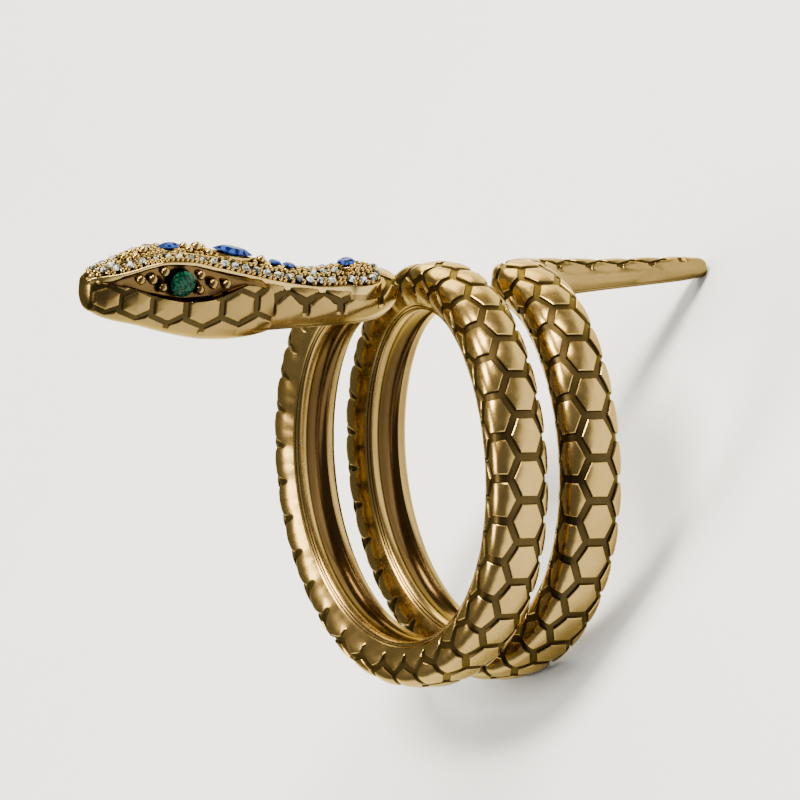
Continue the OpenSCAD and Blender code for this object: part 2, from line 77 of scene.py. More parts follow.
# Path of the body
FINGER_R = 8.65
BODY_T = 2.5
HALF_W = 1.62
DOME_H = 0.98
PATH_R = FINGER_R + BODY_T / 2
ROUND = 2 * math.pi * PATH_R
PITCH = 4.34
SLOPE = PITCH / ROUND
BEND = math.pi / 2 - math.atan(SLOPE)
NECK_BEND_R = 3.6
TAIL_BEND_R = 3.0
NOSE_REACH = 22.1
TAIL_REACH = 16.9
NECK_A = -1.2
TAIL_A = 2 * ROUND + 2.4
LEAN = 0.27
WOBBLE = 0.155


def coil_x(a):
    """Place of the coils along the finger at a way round it."""
    return SLOPE * (a - ROUND)


NECK_X = coil_x(NECK_A) - NECK_BEND_R * math.tan(BEND / 2)
TAIL_X = coil_x(TAIL_A) + TAIL_BEND_R * math.tan(BEND / 2)
COIL_FROM = np.array([NECK_X + NECK_BEND_R * math.sin(BEND), NECK_A + NECK_BEND_R * (1 - math.cos(BEND))])
COIL_TO = np.array([TAIL_X - TAIL_BEND_R * math.sin(BEND), TAIL_A - TAIL_BEND_R * (1 - math.cos(BEND))])
S_NECK = NECK_X + NOSE_REACH
S_COIL = S_NECK + NECK_BEND_R * BEND
S_TURN = S_COIL + float(np.linalg.norm(COIL_TO - COIL_FROM))
S_TAIL = S_TURN + TAIL_BEND_R * BEND
S_TIP = S_TAIL + TAIL_REACH - TAIL_X
# The head ends here and the neck begins.
HEAD_TO = -12.04
S_SEAM = NOSE_REACH + HEAD_TO


def path(s):
    """Place along the finger, way round it and heading of the middle line at s."""
    s = np.asarray(s, float)
    neck_q = (s - S_NECK) / NECK_BEND_R
    tail_q = (S_TAIL - s) / TAIL_BEND_R
    way = s - S_COIL
    pick = [s <= S_NECK, s <= S_COIL, s <= S_TURN, s <= S_TAIL]
    x = np.select(pick, [
        s - NOSE_REACH,
        NECK_X + NECK_BEND_R * np.sin(neck_q),
        COIL_FROM[0] + math.cos(BEND) * way,
        TAIL_X - TAIL_BEND_R * np.sin(tail_q),
    ], TAIL_X + s - S_TAIL)
    a = np.select(pick, [
        np.full_like(s, NECK_A),
        NECK_A + NECK_BEND_R * (1 - np.cos(neck_q)),
        COIL_FROM[1] + math.sin(BEND) * way,
        TAIL_A - TAIL_BEND_R * (1 - np.cos(tail_q)),
    ], TAIL_A)
    heading = np.select(pick, [np.zeros_like(s), neck_q, np.full_like(s, BEND), tail_q], 0.0)
    return x, a, heading


def at(s, b, n):
    """Points of the body: s along it, b across it, n over the finger."""
    s, b, n = matched(s, b, n)
    x, a, heading = path(s)
    th = a / PATH_R
    sway = LEAN * np.sin(th) + WOBBLE * np.sin(2 * th)
    r = FINGER_R + n
    return np.stack([
        x + sway - b * np.sin(heading),
        b * np.cos(heading) * np.cos(th) + r * np.sin(th),
        -b * np.cos(heading) * np.sin(th) + r * np.cos(th),
    ], axis=-1)


# The body, columns: s, width share, lowest height, top height.
BODY = np.array([
    [S_SEAM - 1, 1.02, 0.4, 2.6],
    [S_NECK, 1.02, 0.4, 2.6],
    [S_COIL, 1, 0, BODY_T],
    [S_TURN - 5, 1, 0, BODY_T],
    [S_TURN, 0.97, 0, 2.42],
    [S_TAIL, 0.78, 0.12, 2.2],
    [S_TAIL + 3, 0.66, 0.25, 1.95],
    [S_TIP - 1.6, 0.5, 0.42, 1.76],
    [S_TIP - 0.6, 0.4, 0.55, 1.6],
])
TIP_ROUND, TIP_N = 0.6, 1.06
# The shoulders of the neck fill up to the rim of the crown, columns: s, extra height, exponent of the dome.
NECK_FILL = np.array([[9, 0.6, 0.5], [10.1, 0.58, 0.5], [11.6, 0.26, 0.5], [13.1, 0.08, 0.5], [14.8, 0, 0.6],
                      [18, 0, 0.8]])


def body_size(s):
    """Width share, lowest height and height share at s, with a rounded tip."""
    s = np.asarray(s, float)
    spread = np.linspace(-0.5, 0.5, 5)
    out = [np.mean([lookup(s + d, BODY, k) for d in spread], axis=0) for k in (1, 2, 3)]
    u = np.clip((s - (S_TIP - TIP_ROUND)) / TIP_ROUND, 0, 1)
    c = np.sqrt(np.maximum(1 - u * u, 0))
    share = np.maximum(out[0] * c, 0.01)
    low = TIP_N + (out[1] - TIP_N) * c
    top = TIP_N + (out[2] - TIP_N) * c + lookup(s, NECK_FILL)
    return share, low, (top - low) / BODY_T


# How far the side walls swell out, columns: s, swell.
SWELL = np.array([[S_COIL - 1, 0.22], [S_COIL + 3, 0.13], [S_TURN - 2, 0.13], [S_TAIL, 0.36],
                  [S_TAIL + 3, 0.52], [S_TIP - 3, 0.52], [S_TIP - 1, 0.36]])

# Outer skin in section, from the ridge down the side.
SIDE_N = BODY_T - DOME_H
WALL_B = 1.2
WALL_N = 0.25
DOME_POWER = 0.8
DOME_Q = np.radians(np.concatenate([[0, 0.3, 1, 2], np.arange(4, 86, 3), [88, 89, 89.7, 90]]))
DOME_PTS = np.stack([HALF_W * np.sin(DOME_Q) ** DOME_POWER,
                     SIDE_N + DOME_H * np.maximum(np.cos(DOME_Q), 0) ** DOME_POWER], axis=1)
DOME_WAYS = np.concatenate([[0], np.cumsum(np.linalg.norm(np.diff(DOME_PTS, axis=0), axis=1))])
EDGE_WAY = float(DOME_WAYS[-1])
WALL_WAY = EDGE_WAY + math.hypot(HALF_W - WALL_B, SIDE_N - WALL_N)
WALL_LEAN = math.pi / 2 + math.atan((HALF_W - WALL_B) / (SIDE_N - WALL_N))


def on_skin(s, v, lift):
    """Points on the outer skin at s and the way v across it, raised by lift."""
    s, v, lift = matched(s, v, lift)
    share, low, tall = body_size(s)
    way = np.abs(v)
    q = np.interp(way, DOME_WAYS, DOME_Q)
    t = np.clip((way - EDGE_WAY) / (WALL_WAY - EDGE_WAY), 0, 1)
    power = lookup(s, NECK_FILL, 2)
    sin_q, cos_q = np.sin(q), np.maximum(np.cos(q), 0)
    b = HALF_W * sin_q ** power + t * (WALL_B - HALF_W) + lookup(s, SWELL) * np.sin(math.pi * t)
    n = SIDE_N + DOME_H * cos_q ** power + t * (WALL_N - SIDE_N)
    round_out = np.arctan2(DOME_H * sin_q ** (2 - power), HALF_W * cos_q ** (2 - power))
    out = np.where(way <= EDGE_WAY, round_out, WALL_LEAN)
    side = np.where(v < 0, -1.0, 1.0)
    return at(s, side * (share * b + lift * np.sin(out)), low + tall * n + lift * np.cos(out))


def in_section(s, b, n):
    """Points of the finger side: b and n as shares of the body's size at s."""
    share, low, tall = body_size(s)
    return at(s, share * b, low + tall * n)


# Way across the skin where the finger side begins.
BAND = 3.42
# The rows of scales wander across the body, columns: turns from the neck, shift.
DRIFT = np.array([
    [0.02, 0], [0.12, -0.9], [0.2, -1.1], [0.36, -0.85], [0.48, -0.3],
    [0.6, -0.15], [0.76, -0.2], [0.9, -0.35], [1.02, -0.7], [1.2, -1.1],
    [1.36, -0.85], [1.48, -0.3], [1.6, 0], [1.76, 0], [2, 0],
])
# The whole shift holds up to this way across, and it is gone at the band.
DRIFT_WAY = 2.95
# Spread of the scales and shortening of the grooves at their feet, columns: s, spread, shortening.
SPREAD = np.array([[S_COIL - 1.5, 1.0, 0], [S_COIL + 2.5, 0, 0], [S_TURN - 1, 0, 0], [S_TAIL, 0.5, 0.5]])
SPREAD_WAYS = [0, 0.577, 1.155, 2, 2.9, BAND]
SPREAD_SHARES, SHORT_SHARES = [0, 1, 1, 0.75, 0.2, 0], [0, 0, 0, 1, 0.3, 0]


def drifted(s, v):
    """Ways across the skin after the drift and the spread of the scales."""
    way = np.abs(v)
    moves = np.clip((BAND - way) / (BAND - DRIFT_WAY), 0, 1)
    drift = lookup((s - S_COIL) / ROUND, DRIFT)
    spread = lookup(s, SPREAD) * np.interp(way, SPREAD_WAYS, SPREAD_SHARES)
    short = lookup(s, SPREAD, 2) * np.interp(way, SPREAD_WAYS, SHORT_SHARES)
    return v + moves * drift + np.sign(v) * (spread - short)


# Meshes
# Points nearer to each other than this become one.
MERGE = 0.0004


class Skin:
    """Collects faces with a finish each, turned so that they look away from a line inside."""

    def __init__(self):
        self.points, self.faces, self.finish, self.count = [], [], [], 0

    def add(self, points, faces, finish, inside):
        points = np.asarray(points, float).reshape(-1, 3)
        inside = np.broadcast_to(inside, points.shape)
        turned = []
        for f in faces:
            p = points[list(f)]
            d1, d2 = p[2] - p[0], p[-1] - p[1]
            normal = (
                d1[1] * d2[2] - d1[2] * d2[1],
                d1[2] * d2[0] - d1[0] * d2[2],
                d1[0] * d2[1] - d1[1] * d2[0],
            )
            away = (p - inside[list(f)]).sum(axis=0)
            if normal[0] * away[0] + normal[1] * away[1] + normal[2] * away[2] < 0:
                f = tuple(reversed(f))
            turned.append(f)
        base = self.count
        self.points.append(points)
        self.faces.extend(tuple(base + i for i in f) for f in turned)
        self.finish.extend([finish] * len(turned) if isinstance(finish, int) else list(finish))
        self.count += len(points)

    def build(self, name, materials, crease):
        points = np.concatenate(self.points)
        rest = points @ TO_REST[:3, :3].T + TO_REST[:3, 3]
        mesh = bpy.data.meshes.new(name)
        mesh.from_pydata(rest.tolist(), [], self.faces)
        mesh.polygons.foreach_set("material_index", np.array(self.finish, np.int32))
        mesh.polygons.foreach_set("use_smooth", np.ones(len(self.faces), bool))
        for m in materials:
            mesh.materials.append(m)
        bm = bmesh.new()
        bm.from_mesh(mesh)
        bmesh.ops.remove_doubles(bm, verts=bm.verts, dist=MERGE * 0.001)
        bm.to_mesh(mesh)
        bm.free()
        mesh.set_sharp_from_angle(angle=math.radians(crease))
        return in_scene(name, mesh)


def grid_faces(rows, columns):
    """Faces of a grid of points, row by row."""
    return [
        (r * columns + c, r * columns + c + 1, (r + 1) * columns + c + 1, (r + 1) * columns + c)
        for r in range(rows - 1) for c in range(columns - 1)
    ]


def split_line(corners, parts):
    """Points along a line through corners, each stretch in its own number of parts."""
    out = [np.array(corners[0], float)]
    for a, b, n in zip(corners[:-1], corners[1:], parts):
        a, b = np.array(a, float), np.array(b, float)
        out.extend(a + (b - a) * k / n for k in range(1, n + 1))
    return out


def arc(middle, r, start, end, parts):
    return [
        np.array([middle[0] + r * math.cos(q), middle[1] + r * math.sin(q)])
        for q in np.linspace(math.radians(start), math.radians(end), parts + 1)
    ]


def to_segments(points, segments):
    """Distance from each point to the nearest of the segments."""
    best = np.full(len(points), 1e9)
    for a, b in segments:
        a, b = np.array(a, float), np.array(b, float)
        d = b - a
        t = np.clip(((points - a) @ d) / (d @ d), 0, 1)
        best = np.minimum(best, np.linalg.norm(points - a - t[:, None] * d, axis=1))
    return best


# Scales of the body
# Finishes, by the place of their material on a piece.
# The third finish is painted shade, for the eye recess, the finger channel and the bed of the crown.
GOLD, DARK, HOLLOW_SHADE, RIM = 0, 1, 2, 3
SCALE_L = 2.0
HALF_L = 1.0
HEX_R = SCALE_L / math.sqrt(3)
ROW_V = 1.5 * HEX_R
# End of the foot grooves where the side rows are open, and how far they run on where not.
OPEN_STUB = 1.9
TICK = 0.145
# Distances from the middle of a groove: its floor, its wall, and the top of the scale from TOP_FROM on.
TOP_FROM = 0.245
CONTOURS = [0.0, 0.175, 0.205, TOP_FROM, 0.31]
GROOVE_FLOOR, GROOVE_WALL = -0.18, -0.085
# The top of a scale falls off by this height over this width towards its edge.
CUSHION, CUSHION_W = 0.05, 0.7
# Faces nearer to the middle of a groove, and deeper on the tail, than this are dark: antiquing together with
# painted shade.
DARK_TO, DARK_BELOW = 0.2, -0.1
# Height over the finger of a line inside the body.
INSIDE_N = 1.2


def lift_at(d):
    """Height of the skin at a distance from the middle of the nearest groove."""
    dome = -CUSHION * (1 - np.clip((d - TOP_FROM) / CUSHION_W, 0, 1)) ** 2
    wall = np.interp(d, CONTOURS[:4], [GROOVE_FLOOR, GROOVE_FLOOR, GROOVE_WALL, -CUSHION])
    return np.where(d < TOP_FROM, wall, dome)


def hex_contour(d):
    """Line round one scale, at a distance from the middle of its grooves."""
    r = HEX_R - d * 2 / math.sqrt(3)
    corners = [(SCALE_L - d, r / 2), (HALF_L, r), (d, r / 2), (d, -r / 2), (HALF_L, -r)]
    corners += [(SCALE_L - d, -r / 2), (SCALE_L - d, r / 2)]
    return split_line(corners, [4] * 6)[:-1]


def hex_cell(inner):
    rings = [hex_contour(d) for d in CONTOURS + inner]
    m = len(rings[0])
    points = np.array([p for ring in rings for p in ring] + [(HALF_L, 0)])
    faces = []
    for i in range(len(rings) - 1):
        for j in range(m):
            k = (j + 1) % m
            faces.append((i * m + j, i * m + k, (i + 1) * m + k, (i + 1) * m + j))
    last = (len(rings) - 1) * m
    for j in range(m):
        faces.append((last + j, last + (j + 1) % m, len(points) - 1))
    return points, faces


def foot_contour(d):
    """Line at a distance from the outer ends of two scales, from one foot groove to the next."""
    end = HEX_R + TICK
    corner = (-1 + d, HEX_R + d / math.sqrt(3))
    top = (0, HEX_R / 2 + d * 2 / math.sqrt(3))
    left = arc((-1, end), d, 90, 0, 4)[:-1] + split_line([(-1 + d, end), corner, top], [4, 4])
    return left + [np.array([-p[0], p[1]]) for p in reversed(left[:-1])]


def foot_cell(steps):
    rows = [foot_contour(d) for d in CONTOURS[:4]]
    m = len(rows[0])
    foot = [np.array([x, BAND - ROW_V]) for x in np.linspace(-1, 1, m)]
    for t in steps:
        rows.append([(1 - t) * a + t * b for a, b in zip(rows[3], foot)])
    return np.array([p for row in rows for p in row]), grid_faces(len(rows), m)


# Finger side in section, from the foot of the side wall to the middle of the channel, columns: b, n.
FINGER_SIDE = [
    (1.205, 0.265), (1.16, 0.232), (1.135, 0.235), (1.128, 0.18),
    (1.07, 0.115), (1.03, 0.105), (1.022, 0.062), (0.97, 0.012), (0.93, 0), (0.64, 0), (0.585, 0.012),
    (0.545, 0.045), (0.44, 0.1), (0.3, 0.15), (0.15, 0.184), (0, 0.196),
]
# Steps in the finger side are dark like the grooves; the channel's finish is painted shade.
FINGER_FINISH = [GOLD, DARK, DARK, GOLD, DARK, DARK] + [GOLD] * 3 + [HOLLOW_SHADE] * 6
# Parts along one scale: at the band and on the finger side.
FINE, COARSE = 24, 6


def finger_strip(s_from, s_to, side, fine, coarse):
    """The finger side between two places: a fine row at the band, then rows with fewer points."""
    fine_s = np.linspace(s_from, s_to, fine + 1)
    s = np.linspace(s_from, s_to, coarse + 1)
    ratio = fine // coarse
    fine_row = on_skin(fine_s, side * BAND, 0)
    rows = [in_section(s, side * b, n) for b, n in FINGER_SIDE]
    points = np.concatenate([fine_row] + rows)
    faces, finish = [], []
    start = fine + 1
    for c in range(coarse):
        edge = [c * ratio + k for k in range(ratio + 1)]
        half = ratio // 2
        for k in range(ratio):
            faces.append((edge[k], edge[k + 1], start + c if k < ratio - half else start + c + 1))
        faces.append((edge[ratio - half], start + c + 1, start + c))
        finish.extend([GOLD] * (ratio + 1))
    for r in range(len(FINGER_SIDE) - 1):
        for c in range(coarse):
            a = start + r * (coarse + 1) + c
            faces.append((a, a + 1, a + coarse + 2, a + coarse + 1))
            finish.append(FINGER_FINISH[r])
    inside = at(np.concatenate([fine_s] + [s] * len(FINGER_SIDE)), 0, INSIDE_N)
    return points, faces, finish, inside


FIRST_ROW = math.ceil((S_SEAM - 1) / SCALE_L)
ROW_COUNT = math.floor((S_TIP - 1.2) / SCALE_L) - FIRST_ROW
ROW_SHIFT = -0.8
PATTERN_END = (FIRST_ROW + ROW_COUNT) * SCALE_L + ROW_SHIFT


def row_start(i):
    return (FIRST_ROW + i) * SCALE_L + ROW_SHIFT


def is_open(i):
    """At neck and tail the scales of the side rows have no outer end."""
    return row_start(i) < S_COIL - 1 or row_start(i) > S_TURN + 0.5


def row_walls(i):
    """Middle lines of the grooves of one row, on one side of the ridge."""
    s, far = row_start(i), ROW_V + HEX_R / 2
    walls = [((s, -HEX_R / 2), (s, HEX_R / 2))]
    if i < ROW_COUNT:
        walls += [((s, HEX_R / 2), (s + 1, HEX_R)), ((s + 1, HEX_R), (s + 2, HEX_R / 2)),
                  ((s + 1, HEX_R), (s + 1, OPEN_STUB if is_open(i) else far))]
    if i < ROW_COUNT and not is_open(i):
        walls += [((s - 1, far), (s, ROW_V + HEX_R)), ((s, ROW_V + HEX_R), (s + 1, far)),
                  ((s, ROW_V + HEX_R), (s, ROW_V + HEX_R + TICK))]
    return walls


def core(s, back=0.0):
    """Points in the middle of the body at s, moved back along it."""
    _, low, tall = body_size(s)
    return at(s - back, 0, low + 0.5 * tall * BODY_T)


def add_cell(skin, i, start, points, faces, mirror=1, up=0.0):
    """One cell of row i, moved across by up; mirror -1 puts it beyond the ridge."""
    s = start + points[:, 0]
    way = points[:, 1] + up
    d = to_segments(np.stack([s, np.abs(way)], axis=1), row_walls(i - 1) + row_walls(i) + row_walls(i + 1))
    # Grooves get the dark finish: antiquing together with painted shade.
    finish = [DARK if d[list(f)].mean() < DARK_TO else GOLD for f in faces]
    skin.add(on_skin(s, drifted(s, mirror * way), lift_at(d)), faces, finish, core(s))


def tail_contour(d):
    """Line across the tail at a distance from the last grooves of the pattern."""
    corner = (-1 + d, HEX_R + d / math.sqrt(3))
    bend = (0.5 * d, HEX_R / 2 + math.sqrt(3) / 2 * d)
    left = arc((-1, OPEN_STUB), d, 90, 0, 4)[:-1]
    left += split_line([(-1 + d, OPEN_STUB), corner, bend], [4, 4])[:-1]
    left += arc((0, HEX_R / 2), d, 60, 0, 2)
    return left + split_line([(d, HEX_R / 2), (d, -HEX_R / 2)], [4])[1:-1] + [
        np.array([p[0], -p[1]]) for p in reversed(left)]


# The last short grooves, close to the tip, columns: x, from, to.
TIP_STUB = (1.0, 0.75, 1.35)
# Plain end of the tail: its first straight row, the even rows from there, and the last ones before the tip.
PLAIN_AT, PLAIN_FROM, PLAIN_STEP = 0.62, 0.66, 0.035
TIP_ROWS = (0.5, 0.36, 0.24, 0.15, 0.08, 0.03, 0)


def add_tail(skin):
    walls = [(-1, OPEN_STUB), (-1, HEX_R), (0, HEX_R / 2), (0, -HEX_R / 2), (-1, -HEX_R), (-1, -OPEN_STUB)]
    segments = list(zip(walls[:-1], walls[1:]))
    for side in (1, -1):
        segments.append(((TIP_STUB[0], side * TIP_STUB[1]), (TIP_STUB[0], side * TIP_STUB[2])))
    rows = [tail_contour(d) for d in CONTOURS]
    m = len(rows[0])
    length = S_TIP - PATTERN_END
    across = [np.array([PLAIN_AT, v]) for v in np.linspace(BAND, -BAND, m)]
    for t in (0.25, 0.5, 0.75, 1):
        rows.append([(1 - t) * a + t * b for a, b in zip(rows[len(CONTOURS) - 1], across)])
    ends = [length - k for k in TIP_ROWS]
    for x in list(np.arange(PLAIN_FROM, length - 0.55, PLAIN_STEP)) + ends:
        rows.append([np.array([x, v]) for v in np.linspace(BAND, -BAND, m)])
    points = np.array([p for row in rows for p in row])
    lifts = lift_at(to_segments(points, segments))
    faces = grid_faces(len(rows), m)
    # Grooves of the tail get the dark finish: antiquing together with painted shade.
    finish = [DARK if lifts[list(f)].mean() < DARK_BELOW else GOLD for f in faces]
    s = PATTERN_END + points[:, 0]
    skin.add(on_skin(s, drifted(s, points[:, 1]), lifts), faces, finish, core(s, 0.05))
    for side in (1, -1):
        edge = [row[0 if side > 0 else -1] for row in rows[len(CONTOURS) - 1:]]
        edge_s = np.array([PATTERN_END + p[0] for p in edge])
        edge_v = np.array([p[1] for p in edge])
        upper = on_skin(edge_s, drifted(edge_s, edge_v), 0)
        band = on_skin(edge_s, side * BAND, 0)
        k = len(edge)
        skin.add(np.concatenate([upper, band]), grid_faces(2, k), GOLD, at(np.tile(edge_s, 2), 0, INSIDE_N))
        b_rows = [in_section(edge_s, side * b, n) for b, n in FINGER_SIDE]
        points = np.concatenate([band] + b_rows)
        faces = grid_faces(len(b_rows) + 1, k)
        finish = [GOLD] * (k - 1) + [f for f in FINGER_FINISH for _ in range(k - 1)]
        middle = at(np.tile(edge_s - 0.02, len(b_rows) + 1), 0, 1.1)
        skin.add(points, faces, finish, middle)


def add_body(skin):
    """All rows of scales with their finger side, then the tail."""
    whole, fine = hex_cell([0.42, 0.57, 0.76]), hex_cell([0.4, 0.5, 0.6, 0.7, 0.8, 0.9])
    plain_foot = foot_cell((0.2, 0.45, 0.7, 1))
    fine_foot = foot_cell((0.1, 0.2, 0.32, 0.46, 0.62, 0.8, 1))
    cells = {1: (fine, fine_foot), -1: (whole, plain_foot)}
    for i in range(ROW_COUNT):
        s = row_start(i)
        add_cell(skin, i, s, *whole)
        for mirror, (beside, foot) in cells.items():
            add_cell(skin, i, s - 1, *beside, mirror, ROW_V)
            if i < ROW_COUNT - 1:
                add_cell(skin, i, s + 1, *foot, mirror, ROW_V)
            skin.add(*finger_strip(s - 1, s + 1, mirror, FINE, COARSE))
    s = np.tile(row_start(ROW_COUNT - 1) + np.linspace(0, 1, 5), 2)
    ways = np.concatenate([ROW_V + HEX_R - np.linspace(0, 0.5, 5) * HEX_R, np.full(5, BAND)])
    for mirror in (1, -1):
        skin.add(on_skin(s, drifted(s, mirror * ways), 0), grid_faces(2, 5), GOLD, at(s, 0, INSIDE_N))
    add_tail(skin)


# Head
NECK_TH = NECK_A / PATH_R
SIDEWAYS = np.array([0, math.cos(NECK_TH), -math.sin(NECK_TH)])
OUTWARD = np.array([0, math.sin(NECK_TH), math.cos(NECK_TH)])
ALONG = np.array([1.0, 0, 0])


def over_finger(x, b, n):
    """Points of the head: x along the finger, b across it, n over it."""
    x, b, n = matched(x, b, n)
    return x[..., None] * ALONG + b[..., None] * SIDEWAYS + (FINGER_R + n)[..., None] * OUTWARD


def smooth_lookup(x, table, k):
    """Column k of a table at x, by a monotone cubic through its rows."""
    xs, ys = table[:, 0], table[:, k]
    h, slope = np.diff(xs), np.diff(ys) / np.diff(xs)
    w1, w2 = 2 * h[1:] + h[:-1], h[1:] + 2 * h[:-1]
    same = slope[:-1] * slope[1:] > 0
    safe = np.where(same, slope[:-1] * slope[1:], 1)
    before, after = np.where(same, slope[:-1], 1), np.where(same, slope[1:], 1)
    inner = np.where(same, (w1 + w2) * safe / (w1 * after + w2 * before), 0)
    m = np.concatenate([[slope[0]], inner, [slope[-1]]])
    x = np.clip(x, xs[0], xs[-1])
    i = np.clip(np.searchsorted(xs, x, side="right") - 1, 0, len(h) - 1)
    t = (x - xs[i]) / h[i]
    return (
        ys[i] * (1 + 2 * t) * (1 - t) ** 2 + m[i] * h[i] * t * (1 - t) ** 2
        + ys[i + 1] * t * t * (3 - 2 * t) + m[i + 1] * h[i] * t * t * (t - 1)
    )


# Columns: x, half width, lowest height, height of the widest part, top height.
HEAD = np.array([
    [-21.7, 0.84, 1.9, 2.9, 3.74],
    [-21.15, 1.12, 1.6, 2.7, 3.82],
    [-20.4, 1.36, 1.36, 2.55, 3.9],
    [-19.4, 1.6, 1.12, 2.45, 4.16],
    [-18.2, 1.78, 0.75, 2.3, 4.35],
    [-16.9, 1.9, 0.38, 2.15, 4.3],
    [-15.4, 1.96, 0.08, 2, 4],
    [-14, 1.94, 0, 1.85, 3.65],
    [-12.04, 1.74, 0.22, 1.7, 3.05],
    [-11.8, 1.52, 0.45, 1.65, 2.75],
])
NOSE_FROM = -21.7
NOSE_L = NOSE_REACH + NOSE_FROM
NOSE_N = 3.15
BELLY_POWER, TOP_POWER = 0.77, 0.5


def head_size(x):
    """Half width, lowest, widest and top height of the head, with a rounded nose."""
    x = np.asarray(x, float)
    cols = [smooth_lookup(x, HEAD, k) for k in (1, 2, 3, 4)]
    c = np.sqrt(np.maximum(1 - (np.clip(NOSE_FROM - x, 0, NOSE_L) / NOSE_L) ** 2, 0))
    return np.maximum(cols[0] * c, 0.004), *(NOSE_N + (v - NOSE_N) * c for v in cols[1:])


def head_side(x, n):
    """Half width of the head at a height."""
    half, low, mid, top = head_size(x)
    up = n > mid
    reach = np.where(up, top - mid, mid - low)
    power = np.where(up, TOP_POWER, BELLY_POWER)
    share = np.clip(np.abs(n - mid) / np.maximum(reach, 1e-6), 0, 1)
    return half * np.maximum(1 - share ** (2 / power), 0) ** (power / 2)


# Scales down each side of the head, columns: x, height, half length, half height.
HEAD_SCALES = [
    [-21.25, 2.82, 0.62, 0.56],
    [-19.72, 2.6, 0.68, 0.63],
    [-18, 2.38, 0.76, 0.74],
    [-16.05, 2.12, 0.84, 0.76],
    [-14.05, 2.12, 0.84, 0.76],
    [-12.02, 2.2, 0.86, 0.76],
]
# Short grooves that run on from the corners of the scales, columns: x, from, to.
STUBS = [[-21.25, 3.5, 3.95], [-18, 1.66, 1.16], [-16.05, 1.38, 0.9], [-14.05, 2.86, 3.4]]
GROOVE = 0.3
# The tip of the nose is plain over this length.
NOSE_PLAIN = 0.15
# Rise of the side at a depth in the grooves, columns: depth, rise.
SCALE_RISE = np.array([
    [-0.7, 0.15], [-0.45, 0.142], [-0.28, 0.125], [-0.12, 0.1], [-0.04, 0.08], [-0.01, 0.06], [0.035, 0.0],
])


def groove_depth(x, n):
    """How deep points lie in the nearest groove, negative on a scale and on the plain belly."""
    d = np.full(np.shape(x), 1e3)
    for cx, cn, hl, hh in HEAD_SCALES:
        flat = np.abs(x - cx) - hl
        slant = (np.abs(n - cn) + np.abs(x - cx) * hh / (2 * hl) - hh) / math.hypot(1, hh / (2 * hl))
        d = np.minimum(d, np.maximum(flat, slant))
    d = np.minimum(d, x + NOSE_REACH - NOSE_PLAIN)
    edge = np.where(d < GROOVE / 2, d, GROOVE - d)
    for cx, n0, n1 in STUBS:
        past = np.maximum(np.maximum(n - max(n0, n1), min(n0, n1) - n), 0)
        stub = GROOVE / 2 - np.hypot(x - cx, past)
        edge = np.where(d > 0, np.maximum(edge, stub), edge)
    return edge


def head_relief(x, n):
    edge = groove_depth(x, n)
    rise = lookup(edge, SCALE_RISE)
    _, low, mid, _ = head_size(x)
    belly = np.clip((n - low) / np.maximum(0.5 * (mid - low), 1e-6), 0, 1)
    fade = np.clip((x + NOSE_REACH) / 0.35, 0, 1) ** 0.5 * np.clip((-11.95 - x) / 0.06, 0, 1)
    return rise * belly * fade


# Eye recess, columns: x, lower edge, upper edge, depth.
RECESS = np.array([
    [-21.62, 3.58, 3.6, 0.0],
    [-21.4, 3.56, 3.62, 0.08],
    [-20.4, 3.46, 3.84, 0.26],
    [-18.9, 2.99, 4.26, 0.42],
    [-17.9, 2.74, 4.42, 0.5],
    [-16.9, 2.57, 4.34, 0.54],
    [-15.6, 2.63, 4, 0.5],
    [-14.6, 2.88, 3.72, 0.4],
    [-13.4, 3.2, 3.44, 0.26],
    [-12.5, 3.22, 3.28, 0.1],
    [-12.3, 3.2, 3.22, 0.0],
])


def recess_cut(x):
    """Depth of the eye recess, and the share in which it replaces the plain side."""
    depth = lookup(x, RECESS, 3)
    return depth, np.clip(depth / 0.26, 0, 1)


def recess_floor(x):
    return head_size(x)[0] - recess_cut(x)[0]


# Crown plate, columns: x, half width, height of the rim, height of the floor in the middle.
DROP_X = -6.6
DROP_R = 1.61
CROWN = np.array([
    [-21.97, 0.3, 3.6, 3.6],
    [-21.85, 0.5, 3.74, 3.72],
    [-21.4, 0.8, 3.88, 3.9],
    [-20.6, 1.02, 4.02, 4.1],
    [-19.8, 1.18, 4.22, 4.38],
    [-19, 1.3, 4.46, 4.6],
    [-18, 1.38, 4.62, 4.74],
    [-16.9, 1.42, 4.54, 4.72],
    [-15.2, 1.38, 4.12, 4.5],
    [-13.5, 1.3, 3.64, 4.08],
    [-12.05, 1.26, 3.24, 3.68],
    [-10.5, 1.26, 2.88, 3.28],
    [-9, 1.3, 2.66, 2.96],
    [-8.05, 1.42, 2.64, 3.02],
])
DROP_Q = np.radians([-30, -20, -10, 0, 10, 20, 30, 40, 50, 60, 68, 75, 81, 86, 89])
DROP = np.array([[DROP_X + DROP_R * math.sin(q), DROP_R * math.cos(q), 2.62 - 0.06 * math.sin(q),
                  3.2 - 0.52 * math.sin(q) ** 2] for q in DROP_Q])
PLATE = np.concatenate([CROWN, DROP])
RIM_W, RIM_H, PLATE_H = 0.16, 0.12, 0.79


def crown_at(x, k):
    return lookup(x, PLATE, k)


def between(mid, edge, t):
    """Height of the crown's floor at a share of the way from its middle to its edge."""
    knee = edge * 0.35 + mid * 0.65
    return np.where(t < 0.5, mid + (knee - mid) * t * 2, knee + (edge - knee) * (t * 2 - 1))


def crown_floor(x, b):
    t = np.clip(np.abs(b) / (crown_at(x, 1) - RIM_W), 0, 1)
    return between(crown_at(x, 3), crown_at(x, 2) - RIM_H, t)


LIP_DROP = 0.2
# Metal between the stones, above the floor that their points stand on.
BED = 0.13
# Rows of the head's side from the belly up, and the ways across the eye recess.
BELLY_ROWS, SIDE_ROWS = 12, 52
RECESS_WAYS = (0.012, 0.05, 0.12, 0.22, 0.34, 0.46, 0.56, 0.66, 0.75, 0.83, 0.9, 0.95, 0.98, 1.0)
# No groove is dark in front of this place.
DARK_FROM = -22.04


